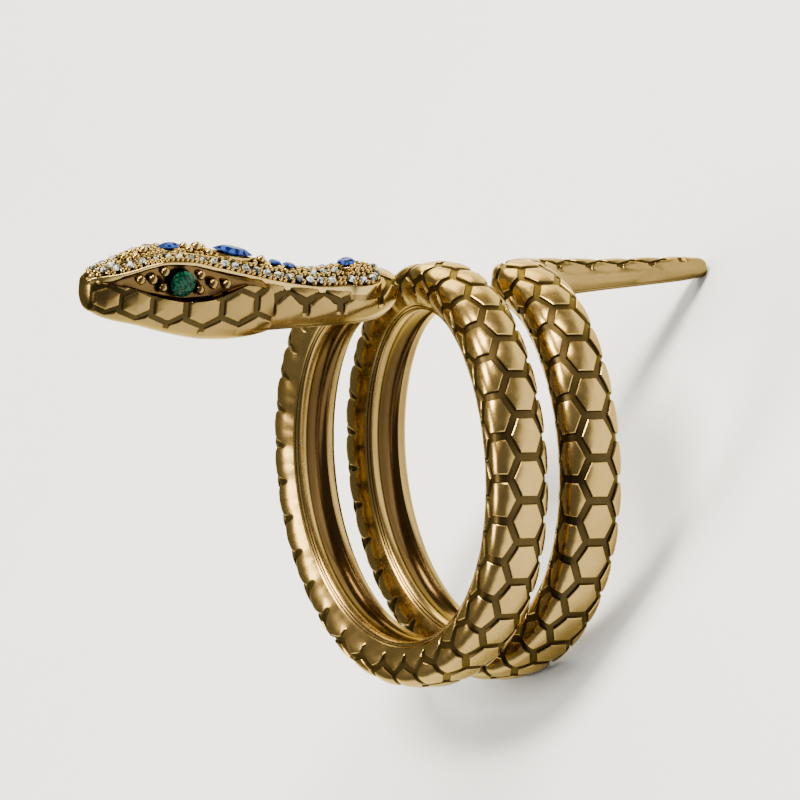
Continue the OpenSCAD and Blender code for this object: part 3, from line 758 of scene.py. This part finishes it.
def add_head(skin):
    nose = -NOSE_REACH + NOSE_L * (1 - np.cos(np.radians(np.linspace(0, 90, 12))))[:-1]
    x = np.concatenate([nose, np.linspace(NOSE_FROM, HEAD[-1, 0], 222)])
    half, low, mid, top = head_size(x)
    scale_n = np.interp(x, [row[0] for row in HEAD_SCALES], [row[1] - row[3] for row in HEAD_SCALES])
    start = np.maximum(scale_n - 0.5, low + 0.12 * (mid - low))
    on_head = np.clip((RECESS[-1, 0] - x) / 0.3, 0, 1) * np.clip((x - RECESS[0, 0]) / 0.3, 0, 1)
    edge_low = np.minimum(smooth_lookup(x, RECESS, 1), mid + 0.8 * (top - mid))
    edge_high = np.where(on_head > 0, smooth_lookup(x, RECESS, 2), 0)
    edge_high = np.maximum(edge_high, np.minimum(edge_low + 0.02, mid + 0.86 * (top - mid)))
    depth, cut = recess_cut(x)
    lip = crown_at(x, 1) - 0.03
    rows = []
    for t in np.linspace(0, 1, BELLY_ROWS + 1)[:-1]:
        bend = np.radians(90) * t
        n = low + (start - low) * (1 - math.cos(bend))
        rows.append((head_side(x, n), n))
    for t in np.linspace(0, 1, SIDE_ROWS):
        n = start + (edge_low - start) * t
        rows.append((head_side(x, n), n))
    for u in RECESS_WAYS:
        n = edge_low + (edge_high - edge_low) * u
        plain = head_side(x, np.minimum(n, mid + 0.97 * (top - mid)))
        bulge = 1 - math.sqrt(max(1 - max((u - 0.42) / 0.58, 0) ** 2, 0))
        dish = 0.13 * math.sin(math.pi * min(u / 0.8, 1)) * np.clip((depth - 0.2) / 0.25, 0, 1)
        hollow = recess_floor(x) + (lip - recess_floor(x)) * bulge - dish
        if u == RECESS_WAYS[0]:
            hollow = recess_floor(x) + 0.1
        shallow = plain - depth * (math.sin(math.pi * u) ** 0.5)
        rows.append(((1 - cut) * shallow + cut * hollow, n))
    for t in (0.15, 0.35, 0.6, 0.8, 1.0):
        n = edge_high + (np.maximum(top, edge_high) - edge_high) * math.sin(math.radians(90) * t)
        plain = head_side(x, np.minimum(n, top))
        tucked = lip * (1 - t)
        rows.append(((1 - cut) * plain + cut * tucked, (1 - cut) * n + cut * (edge_high + 0.02)))
    b = np.array([row[0] for row in rows])
    n = np.array([row[1] for row in rows])
    xs = np.broadcast_to(x, b.shape)
    relief = head_relief(xs, n)
    low_rows = BELLY_ROWS + SIDE_ROWS
    keep = np.ones(b.shape)
    keep[low_rows:] = 1 - cut
    b = b + relief * keep
    b[[0, -1]] = 0
    edge = groove_depth(xs, n)
    columns = len(x)
    faces = grid_faces(len(rows), columns)
    finish = []
    for f in faces:
        r, c = divmod(f[0], columns)
        mean = (edge[r, c] + edge[r, c + 1] + edge[r + 1, c] + edge[r + 1, c + 1]) / 4
        # The eye recess is darkened by painted shade; grooves get antiquing together with painted shade.
        if low_rows - 1 <= r < low_rows + len(RECESS_WAYS) - 1 and cut[c] > 0.15:
            finish.append(HOLLOW_SHADE)
        elif mean > 0 and r >= BELLY_ROWS and DARK_FROM < x[c] < HEAD_TO:
            finish.append(DARK)
        else:
            finish.append(GOLD)
    middle = over_finger(xs + 0.02, 0, 0.5 * (low + top))
    for side in (1, -1):
        skin.add(over_finger(xs, side * b, n), faces, finish, middle.reshape(-1, 3))


def add_crown(skin):
    first, second, last = CROWN[[0, 1, -1], 0]
    x = np.concatenate([np.linspace(first, second, 4)[:-1], np.linspace(second, last, 120)[:-1]])
    crown = [x] + [smooth_lookup(x, CROWN, k) for k in (1, 2, 3)]
    x, w, rim, mid = (np.concatenate([a, c]) for a, c in zip(crown, DROP.T))
    _, cut = recess_cut(x)
    thick = (1 - cut) * PLATE_H + cut * LIP_DROP
    thick = np.where(x < -21.6, np.minimum(thick, 0.3), thick)
    inner = np.maximum(w - RIM_W, w * 0.4)
    scale = np.minimum(w / 0.5, 1)
    profile = [
        (0 * w, -thick), (w * 0.55, -thick), (w - 0.06 * scale, -thick), (w - 0.015, -thick + 0.03),
        (w, -thick * 0.6), (w, -0.06), (w - 0.012, -0.022), (w - 0.04, 0), (w - 0.08, 0.008), (w - 0.12, 0),
        (inner + 0.012, -0.022), (inner, -0.06), (inner - 0.02, -RIM_H),
    ]
    finish_rows = [GOLD] * 4 + [RIM] * 8
    b = [np.maximum(p[0], 0) for p in profile]
    n = [rim + p[1] for p in profile]
    # The bed of the crown between the stones is darkened by painted shade.
    for t in (0.93, 0.8, 0.5, 0.25, 0.0):
        b.append((inner - 0.02) * t)
        n.append(between(mid, rim - RIM_H, t) + BED * min((1 - t) * 6, 1))
        finish_rows.append(HOLLOW_SHADE)
    b, n = np.array(b), np.array(n)
    xs = np.broadcast_to(x, b.shape)
    faces = grid_faces(len(b), len(x))
    finish = [finish_rows[f[0] // len(x)] for f in faces]
    middle = over_finger(xs, 0, rim - 0.16)
    for side in (1, -1):
        skin.add(over_finger(xs, side * b, n), faces, finish, middle.reshape(-1, 3))


def add_ball(skin, place, r, finish, sides=14, rings=8):
    q = np.linspace(-math.pi / 2, math.pi / 2, rings + 1)
    p = np.linspace(0, 2 * math.pi, sides + 1)
    qq, pp = np.meshgrid(q, p, indexing="ij")
    points = place + r * (
        np.cos(qq)[..., None] * (np.cos(pp)[..., None] * ALONG + np.sin(pp)[..., None] * SIDEWAYS)
        + np.sin(qq)[..., None] * OUTWARD)
    skin.add(points, grid_faces(rings + 1, sides + 1), finish, np.array(place))


def add_tube(skin, centres, r, finish, sides=8):
    """A wire through points of the head, with its ends drawn in."""
    centres = np.asarray(centres)
    along = np.gradient(centres, axis=0)
    along /= np.linalg.norm(along, axis=1)[:, None]
    u = np.cross(along, OUTWARD)
    u /= np.linalg.norm(u, axis=1)[:, None]
    v = np.cross(u, along)
    q = np.linspace(0, 2 * math.pi, sides + 1)
    size = np.full(len(centres), r)
    size[0] = size[-1] = r * 0.3
    points = centres[:, None, :] + size[:, None, None] * (
        np.cos(q)[None, :, None] * u[:, None, :] + np.sin(q)[None, :, None] * v[:, None, :])
    skin.add(points, grid_faces(len(centres), sides + 1), finish, np.repeat(centres, sides + 1, axis=0))


# Grain beads, columns: x, height or way across, diameter.
EYE_BEADS = [
    [-19.5, 3.78, 0.52], [-18.85, 3.78, 0.56], [-18.2, 4.14, 0.52], [-18.25, 3.32, 0.52],
    [-16.2, 3.86, 0.52], [-16.2, 3.08, 0.52], [-15.5, 3.36, 0.56], [-14.75, 3.3, 0.5],
]
CROWN_BEADS = [
    [-19.85, 0, 0.42], [-19.35, -0.34, 0.42], [-19.35, 0.34, 0.42], [-18.8, 0, 0.48],
    [-16.35, -0.3, 0.46], [-16.35, 0.3, 0.46], [-15.8, 0, 0.6], [-15.25, -0.42, 0.46], [-15.25, 0.42, 0.46],
    [-12, 0, 0.5],
]
# The wires beside the middle strip of the crown, columns: x, way across.
RIDGE = np.array([[-20.3, 0.2], [-19.6, 0.5], [-18.5, 0.6], [-16.5, 0.62], [-15.0, 0.66]])
WIRE_R = 0.055


def ridge_way(x):
    return lookup(x, RIDGE)


def add_beads(skin):
    for x, n, d in EYE_BEADS:
        for side in (1, -1):
            floor = float(recess_floor(x)) - 0.03
            add_ball(skin, over_finger(x, side * (floor + d * 0.3), n), d / 2, GOLD)
    for x, b, d in CROWN_BEADS:
        add_ball(skin, over_finger(x, b, float(crown_floor(x, b)) + BED + d * 0.25), d / 2, RIM)
    ridge_x = np.linspace(RIDGE[0, 0], RIDGE[-1, 0], 60)
    ridge_b = ridge_way(ridge_x)
    for side in (1, -1):
        wire = over_finger(ridge_x, side * ridge_b, crown_floor(ridge_x, ridge_b) + BED + 0.05)
        add_tube(skin, wire, WIRE_R, RIM)


# Stones
GAP = 0.04


def gem_points(middle, u, v, w, rx, ry, crown_h, point_h, pointed=1.0, sides=16):
    """Outline, crown and point of a cut stone; w points out of its table."""
    def ring(share, h, count, turn=0.0):
        out = []
        for k in range(count):
            q = 2 * math.pi * k / count + turn
            s = math.sin(q)
            across = ry * math.copysign(abs(s) ** pointed, s)
            out.append(middle + share * (rx * math.cos(q) * u + across * v) + h * w)
        return out
    half = math.pi / (sides / 2)
    return (
        ring(0.6, crown_h, sides // 2) + ring(0.84, crown_h * 0.52, sides // 2, half)
        + ring(1.0, 0.012, sides) + ring(1.0, -0.012, sides)
        + ring(0.52, -point_h * 0.5, sides // 2, half) + [middle - point_h * w]
    )


def hull_faces(points):
    """Triangles of the convex hull of the points."""
    bm = bmesh.new()
    verts = [bm.verts.new(p) for p in points]
    result = bmesh.ops.convex_hull(bm, input=verts)
    for v in [g for g in result["geom_interior"] if isinstance(g, bmesh.types.BMVert)]:
        if not v.link_faces:
            bm.verts.remove(v)
    bmesh.ops.dissolve_limit(bm, angle_limit=0.02, verts=bm.verts, edges=bm.edges)
    bm.verts.index_update()
    out = np.array([v.co[:] for v in bm.verts])
    faces = [tuple(v.index for v in f.verts) for f in bm.faces]
    bm.free()
    return out, faces


def add_gem(skin, finish, *shape, **more):
    points, faces = hull_faces(gem_points(*shape, **more))
    skin.add(points, faces, finish, points.mean(axis=0))


def unit(v):
    return v / np.linalg.norm(v)


def crown_stone(x, b, rx, ry, crown_h, point_h, pointed=1.0):
    """A stone leans with the floor of the crown under it."""
    step = 0.2
    along = float(crown_floor(x - step, b) - crown_floor(x + step, b)) / (2 * step)
    across = float(crown_floor(x, b - step) - crown_floor(x, b + step)) / (2 * step)
    w = unit(OUTWARD + along * ALONG + across * SIDEWAYS)
    u = unit(ALONG - (ALONG @ w) * w)
    middle = over_finger(x, b, float(crown_floor(x, b))) + (GAP + point_h) * w
    return middle, u, np.cross(w, u), w, rx, ry, crown_h, point_h, pointed


# Blue stones, columns: node, x, half length, half width, crown height, point depth, exponent of the outline.
BLUE = [
    ["marquise_small", -17.35, 0.62, 0.34, 0.16, 0.24, 1.4],
    ["marquise_large", -13.75, 1.2, 0.5, 0.24, 0.3, 1.4],
    ["blue_neck_front", -11.2, 0.36, 0.36, 0.12, 0.22, 1.0],
    ["blue_neck_back", -10.35, 0.36, 0.36, 0.12, 0.22, 1.0],
    ["blue_drop", -6.95, 0.48, 0.48, 0.16, 0.26, 1.0],
]
# The eye stones: place along the finger, height, radius.
EYE_X, EYE_N, EYE_R = -17.25, 3.5, 0.7
PAVE_R, PAVE_PITCH, PAVE_TO = 0.25, 0.64, DROP_X - 1.2
STONE_ROOM, BEAD_ROOM = 0.12, 0.02
PAVE_STONE, PAVE_METAL = 0, 1
# Rows of small stones, columns: first x, share of the way to the edge, shift in pitches.
PAVE_ROWS = [[-21.4, 1, 0], [-20.6, 1 / 3, 0.5], [-20.6, -1 / 3, 0], [-21.4, -1, 0.5]]


def pave_edge(x):
    return min(crown_at(x - PAVE_R, 1), crown_at(x + PAVE_R, 1)) - RIM_W - PAVE_R - 0.03


def is_free(x, b, stone_room, bead_room):
    """Whether a place keeps its room to the blue stones and to the beads of the crown."""
    near_blue = any(math.hypot((x - r[1]) / (r[2] + stone_room), b / (r[3] + stone_room)) < 1 for r in BLUE)
    return not near_blue and all(math.hypot(x - r[0], b - r[1]) >= r[2] / 2 + bead_room for r in CROWN_BEADS)


def pave_places():
    out = []
    for start, share, shift in PAVE_ROWS:
        for i in range(int((PAVE_TO - start) / PAVE_PITCH) + 1):
            x = start + (i + shift) * PAVE_PITCH
            b = share * pave_edge(x)
            if x < PAVE_TO and is_free(x, b, PAVE_R + STONE_ROOM, PAVE_R + BEAD_ROOM):
                out.append((x, b))
    ring_r = DROP_R - RIM_W - PAVE_R - 0.03
    for q in range(-120, 121, 30):
        out.append((DROP_X + ring_r * math.cos(math.radians(q)), ring_r * math.sin(math.radians(q))))
    return out


# Grains: radius, step of the search, least distance apart, and how many of the last ones are looked at.
GRAIN_R, GRAIN_STEP, GRAIN_APART, GRAIN_BACK = 0.148, 0.09, 0.265, 70


def small_stones(x):
    """Beside the small marquise the stones are smaller and the grains take over."""
    return np.interp(x, [-19.4, -18.8, -15.6, -15], [0.9, 0.6, 0.6, 0.84])


def grain_places(stones):
    """Places of the gold grains that fill the crown between the stones."""
    kept = []
    for i, x in enumerate(np.arange(-21.75, DROP_X + DROP_R - RIM_W - 0.1, GRAIN_STEP)):
        room = float(crown_at(x, 1)) - RIM_W - 0.07
        if x > DROP_X:
            room = math.sqrt(max((DROP_R - RIM_W - 0.07) ** 2 - (x - DROP_X) ** 2, 0))
        for b in np.linspace(-room, room, max(2 * int(room / 0.06) + i % 2, 2)):
            if any(math.hypot(x - s[0], b - s[1]) < PAVE_R * small_stones(s[0]) + 0.06 for s in stones):
                continue
            if not is_free(x, b, 0.13, 0.1):
                continue
            if abs(abs(b) - ridge_way(x)) < 0.14 and RIDGE[0, 0] < x < RIDGE[-1, 0]:
                continue
            if any(math.hypot(x - g[0], b - g[1]) < GRAIN_APART for g in kept[-GRAIN_BACK:]):
                continue
            kept.append((x, b))
    return kept


# Section of a collar, columns: width past the girdle, height.
COLLAR = [(0.06, -0.2), (0.035, -0.15), (0, -0.13), (-0.06, -0.16), (-0.1, -0.24)]


def add_collar(skin, x, *size):
    """Metal that holds a blue stone by its girdle."""
    middle, u, v, w = crown_stone(x, 0, *size)[:4]
    rx, ry, _, point_h, pointed = size
    q = np.linspace(0, 2 * math.pi, 41)
    sin_q = np.copysign(np.abs(np.sin(q)) ** pointed, np.sin(q))
    rings = []
    for wide, high in [(0.07, -point_h - 0.1)] + COLLAR:
        along = ((rx + wide) * np.cos(q))[:, None] * u
        across = ((ry + wide) * sin_q)[:, None] * v
        rings.append(middle + along + across + high * w)
    inside = middle + 0.75 * (rx * np.cos(q)[:, None] * u + ry * sin_q[:, None] * v) - 0.2 * w
    skin.add(np.array(rings), grid_faces(len(rings), len(q)), PAVE_METAL, np.tile(inside, (len(rings), 1)))


def add_pave(skin):
    places = pave_places()
    for x, b in places:
        r = PAVE_R * float(small_stones(x))
        add_gem(skin, PAVE_STONE, *crown_stone(x, b, r, r, 0.12, 0.2), sides=12)
    for x, b in grain_places(places):
        add_ball(skin, over_finger(x, b, float(crown_floor(x, b)) + BED + 0.05), GRAIN_R, PAVE_METAL, 10, 6)
    for row in BLUE:
        add_collar(skin, *row[1:])


# Finishes
EDGE_TINT = (0.96, 0.82, 0.5, 1)
# Cells of the metal's noise in a metre, and the height of its bumps in metres.
NOISE, BUMP_H = 700, 0.00002
GEM_ROUGH, GEM_STOPS = 0.04, (0.3, 0.5, 0.72)


def node_tree(name):
    m = bpy.data.materials.new(name)
    m.use_nodes = True
    t = m.node_tree
    return m, t, t.nodes["Principled BSDF"]


def feed(t, node, inputs):
    """Sets a node's inputs, or links those whose value is the output of another node."""
    for key, value in inputs.items():
        if isinstance(value, bpy.types.NodeSocket):
            t.links.new(value, node.inputs[key])
        else:
            node.inputs[key].default_value = value


def add_node(t, kind, inputs, operation=None):
    node = t.nodes.new(kind)
    if operation:
        node.operation = operation
    feed(t, node, inputs)
    return node.outputs


def coordinates(t):
    return add_node(t, "ShaderNodeTexCoord", {})["Object"]


def noise(t, scale, detail=3, rough=0.55):
    inputs = {"Vector": coordinates(t), "Scale": scale, "Detail": detail, "Roughness": rough}
    return add_node(t, "ShaderNodeTexNoise", inputs)["Fac"]


def mixed(t, share, first, second, blend="MIX"):
    """Colour between two colours, by a share."""
    mix = t.nodes.new("ShaderNodeMix")
    mix.data_type = "RGBA"
    mix.blend_type = blend
    feed(t, mix, {0: share, 6: first, 7: second})
    return mix.outputs[2]


def ramp(t, source, stops):
    r = t.nodes.new("ShaderNodeValToRGB")
    while len(r.color_ramp.elements) > 1:
        r.color_ramp.elements.remove(r.color_ramp.elements[-1])
    for k, (place, colour) in enumerate(stops):
        e = r.color_ramp.elements[0] if k == 0 else r.color_ramp.elements.new(place)
        e.position = place
        e.color = (*colour, 1) if hasattr(colour, "__len__") else (colour, colour, colour, 1)
    t.links.new(source, r.inputs["Fac"])
    return r.outputs["Color"]


# Metres along the finger from the middle of the coils: the plain gold ends, and the painted shade of head,
# neck and tail is full.
PLAIN_GOLD_TO, PAINTED_SHADE_FROM = 0.0055, 0.0085
# Darker gold, painted onto head, neck and tail as shade.
PAINTED_SHADE_LIGHT, PAINTED_SHADE_DARK = (0.226, 0.153, 0.052), (0.176, 0.117, 0.038)


def painted_shade_share(t):
    """Share of the painted shade: 0 on the coils and 1 on head, neck and tail."""
    finger = (WORN_TO_REST.to_3x3() @ Vector((1, 0, 0))).normalized()
    ends = {0: coordinates(t), 1: WORN_TO_REST.translation}
    step = add_node(t, "ShaderNodeVectorMath", ends, "SUBTRACT")["Vector"]
    along = add_node(t, "ShaderNodeVectorMath", {0: step, 1: finger}, "DOT_PRODUCT")["Value"]
    size = add_node(t, "ShaderNodeMath", {0: along}, "ABSOLUTE")["Value"]
    return ramp(t, size, [(PLAIN_GOLD_TO, 0.0), (PAINTED_SHADE_FROM, 1.0)])


def metal(name, light, dark, rough_low, rough_high, bump_strength, painted_shade=False):
    """Gold with fine noise in its colour and roughness; painted shade darkens head, neck and tail."""
    m, t, shader = node_tree(name)
    broad = noise(t, NOISE * 0.45, 4)
    colour = ramp(t, broad, [(0.3, dark), (0.68, light)])
    if painted_shade:
        shaded_colour = ramp(t, broad, [(0.3, PAINTED_SHADE_DARK), (0.68, PAINTED_SHADE_LIGHT)])
        colour = mixed(t, painted_shade_share(t), colour, shaded_colour)
    fine = noise(t, NOISE * 2.2, 5, 0.6)
    relief = {"Strength": bump_strength, "Distance": BUMP_H, "Height": fine}
    feed(t, shader, {
        "Metallic": 1.0,
        "Specular Tint": EDGE_TINT,
        "Base Color": colour,
        "Roughness": ramp(t, fine, [(0.3, rough_low), (0.7, rough_high)]),
        "Normal": add_node(t, "ShaderNodeBump", relief)["Normal"],
    })
    return m


def gem_finish(name, deep, mid, bright, scale, ior=1.45, spec=0.12):
    """Cut stone: small cells of different brightness stand for the light inside its facets."""
    m, t, shader = node_tree(name)
    cells = add_node(t, "ShaderNodeTexVoronoi", {"Vector": coordinates(t), "Scale": scale})["Color"]
    grey = add_node(t, "ShaderNodeRGBToBW", {"Color": cells})["Val"]
    tones = ramp(t, grey, list(zip(GEM_STOPS, (deep, mid, bright))))
    feed(t, shader, {"Base Color": tones, "Roughness": GEM_ROUGH, "IOR": ior, "Specular IOR Level": spec})
    return m


# On neck and tail this gold is darkened by painted shade.
gold = metal("antiqued_gold", (0.36, 0.249, 0.086), (0.285, 0.19, 0.06), 0.22, 0.29, 0.035, painted_shade=True)
# Grooves: dark antiquing together with painted shade.
gold_dark = metal("gold_grooves_antique_and_shade", (0.055, 0.038, 0.014), (0.03, 0.021, 0.008), 0.38, 0.5, 0.2)
gold_bright = metal("antiqued_gold_beads", (0.43, 0.32, 0.125), (0.35, 0.255, 0.09), 0.14, 0.2, 0.03)
# The head's gold is darkened all over by painted shade.
gold_head_painted_shade = metal("antiqued_gold_head_painted_shade", PAINTED_SHADE_LIGHT, PAINTED_SHADE_DARK, 0.2, 0.26, 0.035)
# Painted shade for the eye recess, the finger channel and the bed of the crown.
gold_hollow_shade = metal("gold_recess_painted_shade", (0.085, 0.052, 0.02), (0.065, 0.038, 0.014), 0.17, 0.22, 0.03)
green_stone = gem_finish(
    "green_stone", (0.0, 0.01, 0.005), (0.001, 0.028, 0.014), (0.006, 0.08, 0.042), 9000)
blue_stone = gem_finish(
    "blue_stone", (0.001, 0.004, 0.035), (0.005, 0.014, 0.11), (0.035, 0.07, 0.28), 5200, ior=1.2, spec=0.06)
clear_stone = gem_finish("clear_stone", (0.03, 0.034, 0.034), (0.16, 0.18, 0.2), (0.6, 0.64, 0.68), 7000)


# Pieces


def piece(skin, name, materials, nodes, crease=30):
    """One visible piece, which rides on the ring and stands for nodes of the frame."""
    obj = skin.build(name, materials, crease)
    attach(obj, "root")
    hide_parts(*nodes)


golds = [gold, gold_dark, gold_hollow_shade, gold_bright]
body_skin, head_skin = Skin(), Skin()
add_body(body_skin)
add_head(head_skin)
add_crown(head_skin)
add_beads(head_skin)
piece(body_skin, "snake_coils", golds, ["snake_body"])
piece(head_skin, "snake_head", [gold_head_painted_shade] + golds[1:], ["snake_body"], 42)

pave_skin = Skin()
add_pave(pave_skin)
piece(pave_skin, "pave_field", [clear_stone, gold_bright], ["pave_stones"], 12)
for side, node in ((-1, "eye_stone_near"), (1, "eye_stone_far")):
    stone = Skin()
    middle = over_finger(EYE_X, side * (float(recess_floor(EYE_X)) + GAP + 0.3), EYE_N)
    add_gem(stone, 0, middle, ALONG, -side * OUTWARD, side * SIDEWAYS, EYE_R, EYE_R, 0.2, 0.3)
    piece(stone, node + "_cut", [green_stone], [node], 5)
for node, x, *size in BLUE:
    stone = Skin()
    add_gem(stone, 0, *crown_stone(x, 0, *size))
    piece(stone, node + "_cut", [blue_stone], [node], 5)


# Floor, lights and camera
# The floor is painted pale round the ring and greyer far from it, a painted pool of light.
FLOOR_PALE, FLOOR_FAR = (0.8, 0.865, 0.99), (0.28, 0.305, 0.345)
POOL_MIDDLE, POOL_R = (0.01, 0.035), 0.09


def stage_floor():
    mesh = bpy.data.meshes.new("floor")
    half = 1.5
    corners = [(-half, -half, 0), (half, -half, 0), (half, half, 0), (-half, half, 0)]
    mesh.from_pydata(corners, [], [(0, 1, 2, 3)])
    floor = in_scene("floor", mesh)
    m, t, shader = node_tree("floor_painted_light_pool")
    ends = {0: coordinates(t), 1: (*POOL_MIDDLE, 0)}
    away = add_node(t, "ShaderNodeVectorMath", ends, "DISTANCE")["Value"]
    # Painted pool of light on the floor: pale near the ring, grey far from it.
    painted_pool = ramp(t, away, [(POOL_R, FLOOR_PALE), (POOL_R * 1.8, FLOOR_FAR)])
    mottle = ramp(t, noise(t, 30), [(0.3, 0.965), (0.7, 1.0)])
    shade = mixed(t, 1.0, painted_pool, mottle, "MULTIPLY")
    feed(t, shader, {"Base Color": shade, "Roughness": 0.75, "Specular IOR Level": 0.2})
    mesh.materials.append(m)


# The photograph's camera in the worn frame: radians, millimetres, and for CAM_SCALE pixels a millimetre.
CAM_AZ, CAM_EL, CAM_ROLL = 0.5074, 0.2077, -0.0285
CAM_DIST, CAM_SCALE = 362.90, 19.0368
CAM_X, CAM_Y = 2.416, -3.7595
# Side of the photograph in pixels, and the camera's sensor in millimetres.
PHOTO_SIDE, SENSOR = 800, 36
level = Vector((math.sin(CAM_AZ), math.cos(CAM_AZ), 0))
right = Vector((math.cos(CAM_AZ), -math.sin(CAM_AZ), 0))
ahead = level * math.cos(CAM_EL) - Vector((0, 0, 1)) * math.sin(CAM_EL)
up = Vector((0, 0, 1)) * math.cos(CAM_EL) + level * math.sin(CAM_EL)
eye = -CAM_X * right - CAM_Y * up - CAM_DIST * ahead
image_right = right * math.cos(CAM_ROLL) - up * math.sin(CAM_ROLL)
image_up = up * math.cos(CAM_ROLL) + right * math.sin(CAM_ROLL)


def turned(v):
    return (WORN_TO_REST.to_3x3() @ v).normalized()


VIEW_RIGHT, VIEW_UP, VIEW_AHEAD = turned(image_right), turned(image_up), turned(ahead)
EYE = WORN_TO_REST @ eye
camera = in_scene("camera", bpy.data.cameras.new("camera"))
turn = Matrix((VIEW_RIGHT, VIEW_UP, -VIEW_AHEAD)).transposed().to_4x4()
camera.matrix_world = Matrix.Translation(EYE) @ turn
camera.data.sensor_width = SENSOR
camera.data.lens = CAM_SCALE * CAM_DIST / PHOTO_SIDE * SENSOR
camera.data.clip_start = 0.01
camera.data.clip_end = 10
bpy.context.scene.camera = camera
MIDDLE = Vector((0, 0, 0.015))
WARM = (1, 0.89, 0.68)
# Lamps, columns: name, way right, up and towards the camera from the middle, size in metres, watts.
LAMPS = [
    ["key", -0.3, 0.35, 0.25, 0.2, 6.3],
    ["top", 0.02, 0.45, 0.12, 0.16, 3.0],
    ["side", -0.45, -0.02, 0.12, 0.2, 3.0],
    ["back", -0.12, 0.42, -0.32, 0.36, 4.0],
]


def lamp(name, right_by, up_by, toward, size, watts):
    """Soft warm area light, placed by the picture's own directions from the middle of the ring."""
    light = bpy.data.lights.new(name, "AREA")
    light.shape = "RECTANGLE"
    light.size = size
    light.size_y = size
    light.energy = watts
    light.color = WARM
    obj = in_scene(name, light)
    place = MIDDLE + VIEW_RIGHT * right_by + VIEW_UP * up_by - VIEW_AHEAD * toward
    obj.location = place
    obj.rotation_euler = (MIDDLE - place).to_track_quat("-Z", "Y").to_euler()


stage_floor()
world = bpy.data.worlds.new("studio")
bpy.context.scene.world = world
world.use_nodes = True
background = world.node_tree.nodes["Background"]
feed(world.node_tree, background, {"Color": (1.0, 0.98, 0.95, 1), "Strength": 0.28})
for row in LAMPS:
    lamp(*row)
